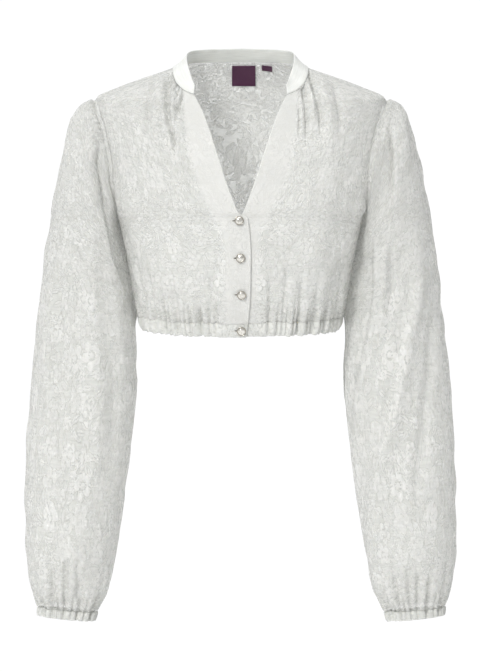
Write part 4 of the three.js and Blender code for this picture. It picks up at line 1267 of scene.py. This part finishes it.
class BLOUSE_OT_cuffs(bpy.types.Operator):
    """Builds the cuff casings, gathered over their elastic"""
    bl_idname = "blouse.cuffs"
    bl_label = "Cuff casings"

    def execute(self, context):
        sizes = context.scene.blouse_sizes
        angles = np.arange(SLEEVE_COLUMNS) * 360 / SLEEVE_COLUMNS
        rows = np.linspace(0, 1, CASING_ROWS)
        around = angles[None, :] / 360
        lines = []
        for name, side in SIDES.items():
            points = ring_points(rows, CUFF, angles)
            ridge = edge_gathers(around, 0, CUFF_GATHERS, CUFF_SEEDS[name], sizes.cuff_gathers / MM)
            height = casing_swell(1 - rows)[:, None] + ridge * mix(1.0, 0.5, rows)[:, None]
            points = displaced(points, height, closed=True)
            points[..., 0] *= side
            made = shell(f"cuff_{name}_cloth", points, sizes.casing / MM, finish("cased"),
                         CUFF_PATTERN, closed=True, flip=side < 0)
            dress(made, "casing", f"cuff_{name}")
            normals = grid_normals(points, True, side < 0)
            lines.append(tuple(np.concatenate([line, line[:1]]) for line in (points[1], normals[1])))
        made = add_stitches("cuff_stitches", lines, finish("thread"), sizes.stitch / MM, sizes.thread / MM)
        dress(made, "casing")
        return {"FINISHED"}


def button_seat(x, z):
    """Where a button is sewn on: the point, the cloth's normal, and the directions across and up."""
    seat = body_point(x, z, -1)
    normal = body_normal(seat, -1)
    across = np.cross(normal, (0, 0, 1))
    across /= np.linalg.norm(across)
    return seat, normal, across, np.cross(across, normal)


def add_button(name, seat, normal, across, up):
    """A moulded button, turned round its axis, with its profile's run as the second cloth coordinate."""
    sides, steps = BUTTON_SIDES, BUTTON_STEPS
    profile_rows = np.linspace(0, len(BUTTON_PROFILE["row"]) - 1, steps)
    radius = np.maximum(value_at(BUTTON_PROFILE, "radius", profile_rows, "row"), BUTTON_TIP)
    rise = value_at(BUTTON_PROFILE, "rise", profile_rows, "row")
    turns = np.arange(sides) * 2 * math.pi / sides
    ring = np.cos(turns)[:, None] * across + np.sin(turns)[:, None] * up
    points = seat + normal * rise[:, None, None] + ring[None] * radius[:, None, None]
    vertices = np.concatenate([points.reshape(-1, 3), [seat + normal * rise[0]]])
    faces, uvs = [], []
    for r in range(steps - 1):
        for c in range(sides):
            n = (c + 1) % sides
            faces.append((r * sides + c, (r + 1) * sides + c, (r + 1) * sides + n, r * sides + n))
            uvs += [(c / sides, r / steps), (c / sides, (r + 1) / steps),
                    ((c + 1) / sides, (r + 1) / steps), ((c + 1) / sides, r / steps)]
    top = (steps - 1) * sides
    faces.append(tuple(top + c for c in range(sides))[::-1])
    uvs += [(0.5, 1.0)] * sides
    for c in range(sides):
        faces.append(((c + 1) % sides, len(vertices) - 1, c))
        uvs += [(0.5, 0.0)] * 3
    return add_mesh(name, vertices, faces, uvs, finish("pearl"))


def add_buttonhole(name, base, normal, across, up):
    """The slit of a buttonhole, a dark sheet of painted shade, and the line of the stitches that bind it."""
    turns = np.linspace(0, 2 * math.pi, HOLE_POINTS + 1)
    lens = np.sign(np.sin(turns)) * np.abs(np.sin(turns)) ** HOLE_FULLNESS
    loop = np.cos(turns)[:, None] * HOLE_LONG / 2 * across + lens[:, None] * HOLE_WIDE / 2 * up
    slit = base + loop[:-1] + normal * HOLE_RISE
    below = base + loop[:-1] - normal * HOLE_DEEP
    upper, lower = range(HOLE_POINTS), range(HOLE_POINTS, 2 * HOLE_POINTS)
    faces = [tuple(upper)[::-1], tuple(lower)]
    for k in upper:
        n = (k + 1) % HOLE_POINTS
        faces.append((k, n, HOLE_POINTS + n, HOLE_POINTS + k))
    made = add_mesh(name, np.concatenate([slit, below]), faces, None, finish("slit"))
    bound = base + loop * (1 + BINDING_LONGER / HOLE_LONG) + lens[:, None] * BINDING_WIDER * up
    return made, (bound, np.broadcast_to(normal, loop.shape))


class BLOUSE_OT_buttons(bpy.types.Operator):
    """Builds the four pearl buttons and their buttonholes"""
    bl_idname = "blouse.buttons"
    bl_label = "Buttons"

    def execute(self, context):
        binding = []
        for number, x, z in zip("1234", BUTTONS["x"], BUTTONS["z"]):
            seat, normal, across, up = button_seat(x, z)
            on_casing = CASING_SWELL if z < HEM_SEAM_Z else 0
            raised = seat + normal * (SEAM_GAP + on_casing)
            made = add_button(f"button_{number}_pearl", raised, normal, across, up)
            dress(made, "button", f"button_{number}")
            # A buttonhole lies across under its button, and its end shows beside it
            base = seat + normal * on_casing + across * math.copysign(HOLE_OFFSET, -across[0])
            made, bound = add_buttonhole(f"buttonhole_{number}_slit", base, normal, across, up)
            dress(made, "facing")
            binding.append(bound)
        made = add_stitches("buttonhole_stitches", binding, finish("thread"), BINDING_PITCH,
                            BINDING_THREAD, cover=1.0)
        dress(made, "facing")
        return {"FINISHED"}


def label_points(label):
    """A label's outer face, inside the back."""
    shares = np.linspace(0, 1, LABEL_ROWS)[:, None]
    across = np.linspace(0, 1, LABEL_COLUMNS)[None, :]
    z = mix(label["bottom"], label["top"], shares) + label["drop"] * (2 * across - 1)
    x = np.broadcast_to(mix(label["left"], label["right"], across), z.shape)
    points = body_point(x, z, 1)
    return points - body_normal(points, 1) * (SOLID_CLOTH + LABEL_STAND_OFF)


class BLOUSE_OT_labels(bpy.types.Operator):
    """Builds the two bare woven labels inside the back neck"""
    bl_idname = "blouse.labels"
    bl_label = "Labels"

    def execute(self, context):
        sizes = context.scene.blouse_sizes
        lines = []
        for name, label in (("neck_label", NECK_LABEL), ("size_tab", SIZE_TAB)):
            points = label_points(label)
            normals = grid_normals(points, False, True)
            points = points + normals * unevenness(points, "tape")[..., None]
            made = shell(f"{name}_tape", points, TAPE_THICK, finish("tape"), CUTS[name]["flat"], flip=True)
            dress(made, "label", name)
            inner = (points - normals * TAPE_THICK)[LABEL_INSET:-LABEL_INSET, LABEL_INSET:-LABEL_INSET]
            inwards = -normals[LABEL_INSET:-LABEL_INSET, LABEL_INSET:-LABEL_INSET]
            for line in ((0,), (-1,), (slice(None), 0), (slice(None), -1)):
                lines.append((inner[line], inwards[line]))
        made = add_stitches("label_stitches", lines, finish("tape_thread"), LABEL_PITCH,
                            sizes.thread / MM * LABEL_THREAD)
        dress(made, "label")
        return {"FINISHED"}


class BLOUSE_OT_edge_stitches(bpy.types.Operator):
    """Sews the V edges and the front edges"""
    bl_idname = "blouse.edge_stitches"
    bl_label = "Edge stitches"

    def execute(self, context):
        sizes = context.scene.blouse_sizes
        rows = np.linspace(0, NECK_ROW, EDGE_STITCH_ROWS)
        lines = []
        for side in SIDES.values():
            shares = np.linspace(0, FACING_SHARE, FACING_COLUMNS)
            points = front_grid(side, rows, shares)
            normals = grid_normals(points, False, False)
            points[..., 0] *= side
            normals[..., 0] *= side
            lines.append((points[:, 1], normals[:, 1]))
        made = add_stitches("edge_stitches", lines, finish("thread"), sizes.stitch / MM, sizes.thread / MM)
        dress(made, "facing")
        return {"FINISHED"}


# The floor's half width, and where the lights point and how wide their discs are in degrees
FLOOR_HALF = 60
WINDOW_TOWARDS, WINDOW_DISC = (0.34, 0.77, -0.52), 12
CEILING_TOWARDS, CEILING_DISC = (0.05, -0.1, -1), 50
SENSOR_WIDTH, SIGHT = 36, 100


class BLOUSE_OT_stage(bpy.types.Operator):
    """Sets the pale floor, the soft lights and the camera"""
    bl_idname = "blouse.stage"
    bl_label = "Stage"

    def execute(self, context):
        scene = context.scene
        stage = scene.blouse_stage
        corners = np.array([(-1, -1, 0), (1, -1, 0), (1, 1, 0), (-1, 1, 0)]) * FLOOR_HALF / MM
        floor = add_mesh("studio_floor", corners + (0, 0, stage.floor_z / MM), [(0, 1, 2, 3)], None,
                         finish("floor"), smooth=False)
        world = bpy.data.worlds.new("studio_air")
        world.use_nodes = True
        background = world.node_tree.nodes["Background"]
        background.inputs["Color"].default_value = linear("#fbfcfd")
        background.inputs["Strength"].default_value = stage.room_light
        scene.world = world
        lights = (("soft_window", stage.window_light, WINDOW_DISC, WINDOW_TOWARDS),
                  ("ceiling_light", stage.ceiling_light, CEILING_DISC, CEILING_TOWARDS))
        for name, power, disc, direction in lights:
            lamp = bpy.data.lights.new(name, "SUN")
            lamp.energy = power
            lamp.angle = math.radians(disc)
            made = bpy.data.objects.new(name, lamp)
            made.rotation_euler = Vector(direction).to_track_quat("-Z", "Y").to_euler()
            scene.collection.objects.link(made)
        camera = bpy.data.cameras.new("photo_camera")
        camera.sensor_width = SENSOR_WIDTH
        camera.lens = camera.sensor_width * stage.camera_distance / stage.view_height
        camera.clip_end = SIGHT
        made = bpy.data.objects.new("photo_camera", camera)
        tilt = stage.camera_tilt
        back = Vector((0, -math.cos(tilt), math.sin(tilt)))
        aim = Vector((stage.view_x, 0, stage.view_z / math.cos(tilt)))
        made.location = aim + back * stage.camera_distance
        made.rotation_euler = (-back).to_track_quat("-Z", "Y").to_euler()
        scene.collection.objects.link(made)
        scene.camera = made
        scene.view_settings.view_transform = "Standard"
        return {"FINISHED"}


def length(name, description, default):
    return bpy.props.FloatProperty(name=name, description=description, default=default, unit="LENGTH", min=0)


def colour(name, description, hex_colour):
    return bpy.props.FloatVectorProperty(name=name, description=description, default=linear(hex_colour),
                                         size=4, subtype="COLOR", min=0, max=1)


class BlouseSizes(bpy.types.PropertyGroup):
    """Sizes of the sewing and the folds."""
    cloth: length("Cloth", "Thickness of one layer of the jacquard", 0.00045)
    casing: length("Casing", "Thickness of a casing with its elastic", 0.0019)
    collar: length("Collar", "Thickness of the doubled collar stand", 0.0012)
    hem_gathers: length("Hem gathers", "Depth of the gathers at the hem", 0.0068)
    neck_gathers: length("Neck gathers", "Depth of the gathers at the collar", 0.0042)
    head_gathers: length("Sleeve head gathers", "Depth of the gathers at the armholes", 0.0044)
    cuff_gathers: length("Cuff gathers", "Depth of the gathers at the cuffs", 0.0052)
    creases: bpy.props.FloatProperty(name="Creases", description="Depth of the hand placed creases",
                                     default=1.9, subtype="FACTOR", min=0, max=3)
    stitch: length("Stitch", "Length of one stitch with its gap", 0.0026)
    thread: length("Thread", "Thickness of the sewing thread", 0.00045)


class BlouseColours(bpy.types.PropertyGroup):
    """Colours of the cloth, the buttons and the labels."""
    figure: colour("Figure", "Dense weave of the jacquard figure", "#f0f0ec")
    ground: colour("Ground", "Open weave of the sheer ground", "#e3e4df")
    cased_figure: colour("Cased figure", "Figure of the doubled casings", "#e2e2de")
    cased_ground: colour("Cased ground", "Ground of the doubled casings", "#d6d7d2")
    facing: colour("Facing", "Doubled cloth of the facings", "#f6f6f2")
    facing_shade: colour("Facing shade", "Thinner threads of the doubled cloth", "#efefeb")
    collar: colour("Collar", "Interfaced cloth of the collar stand", "#e8e9e5")
    collar_shade: colour("Collar shade", "Thinner threads of the collar stand", "#dfe0dc")
    pearl: colour("Pearl", "Light of the pearl buttons", "#f4f2ec")
    pearl_shade: colour("Pearl shade", "Streaks of the pearl buttons", "#c9c5bb")
    # The pearl rim colour is a painted dark reflection on the buttons' rims
    pearl_rim: colour("Pearl rim", "Rim of the pearl buttons", "#a49e92")
    tape: colour("Tape", "Woven label tape", "#45163a")
    tape_light: colour("Tape light", "Ribs of the label tape", "#572049")
    thread: colour("Thread", "Sewing thread", "#f4f4f0")
    thread_shade: colour("Thread shade", "Twist of the sewing thread", "#dcdcd6")
    # The slit colours are painted shade, the dark inside of the open buttonholes
    slit: colour("Slit", "Gimp seen in the open buttonholes", "#6e695f")
    slit_shade: colour("Slit shade", "Darker mottling of the painted shade", "#4d4942")
    floor: colour("Floor", "Studio floor", "#fdfdfd")
    floor_shade: colour("Floor shade", "Roller marks of the studio floor", "#fafafa")
    sheer: bpy.props.FloatProperty(name="Sheer", description="How much of the view the open ground covers",
                                   default=0.46, subtype="FACTOR", min=0, max=1)


class BlouseStage(bpy.types.PropertyGroup):
    """The floor, the lights and the camera."""
    floor_z: bpy.props.FloatProperty(name="Floor", description="Height of the floor", default=-1.25,
                                     unit="LENGTH")
    room_light: bpy.props.FloatProperty(name="Room light", description="Strength of the even light all round",
                                        default=0.42, min=0)
    window_light: bpy.props.FloatProperty(name="Window light", default=1.85, min=0,
                                          description="Strength of the light from the window")
    ceiling_light: bpy.props.FloatProperty(name="Ceiling light", default=1.2, min=0,
                                           description="Strength of the light from above")
    camera_distance: length("Camera distance", "From the camera to the blouse", 20.0)
    camera_tilt: bpy.props.FloatProperty(name="Camera tilt", default=math.radians(5), unit="ROTATION",
                                         description="How far above the level the camera is")
    view_height: length("View height", "Height of the picture at the blouse", 0.8064)
    view_x: bpy.props.FloatProperty(name="View across", description="Middle of the picture across",
                                    default=-0.0006, unit="LENGTH")
    view_z: bpy.props.FloatProperty(name="View up", default=-0.324, unit="LENGTH",
                                    description="Middle of the picture up, across the line of sight")


PIECES = (BLOUSE_OT_fronts, BLOUSE_OT_facings, BLOUSE_OT_back, BLOUSE_OT_hem, BLOUSE_OT_collar,
          BLOUSE_OT_sleeves, BLOUSE_OT_cuffs, BLOUSE_OT_buttons, BLOUSE_OT_labels, BLOUSE_OT_edge_stitches,
          BLOUSE_OT_stage)


class BLOUSE_PT_panel(bpy.types.Panel):
    """Lists the pieces and their sizes and colours"""
    bl_idname = "BLOUSE_PT_panel"
    bl_label = "Dirndl blouse"
    bl_space_type = "VIEW_3D"
    bl_region_type = "UI"
    bl_category = "Blouse"

    def draw(self, context):
        for piece in PIECES:
            self.layout.operator(piece.bl_idname)
        for group in (context.scene.blouse_sizes, context.scene.blouse_colours, context.scene.blouse_stage):
            for name in group.__annotations__:
                self.layout.prop(group, name)


CLASSES = (BlouseSizes, BlouseColours, BlouseStage, *PIECES, BLOUSE_PT_panel)


def register():
    for made in CLASSES:
        bpy.utils.register_class(made)
    bpy.types.Scene.blouse_sizes = bpy.props.PointerProperty(type=BlouseSizes)
    bpy.types.Scene.blouse_colours = bpy.props.PointerProperty(type=BlouseColours)
    bpy.types.Scene.blouse_stage = bpy.props.PointerProperty(type=BlouseStage)


def unregister():
    del bpy.types.Scene.blouse_sizes
    del bpy.types.Scene.blouse_colours
    del bpy.types.Scene.blouse_stage
    for made in reversed(CLASSES):
        bpy.utils.unregister_class(made)


def main():
    register()
    for piece in PIECES:
        group, name = piece.bl_idname.split(".")
        getattr(getattr(bpy.ops, group), name)()


if __name__ == "__main__":
    main()
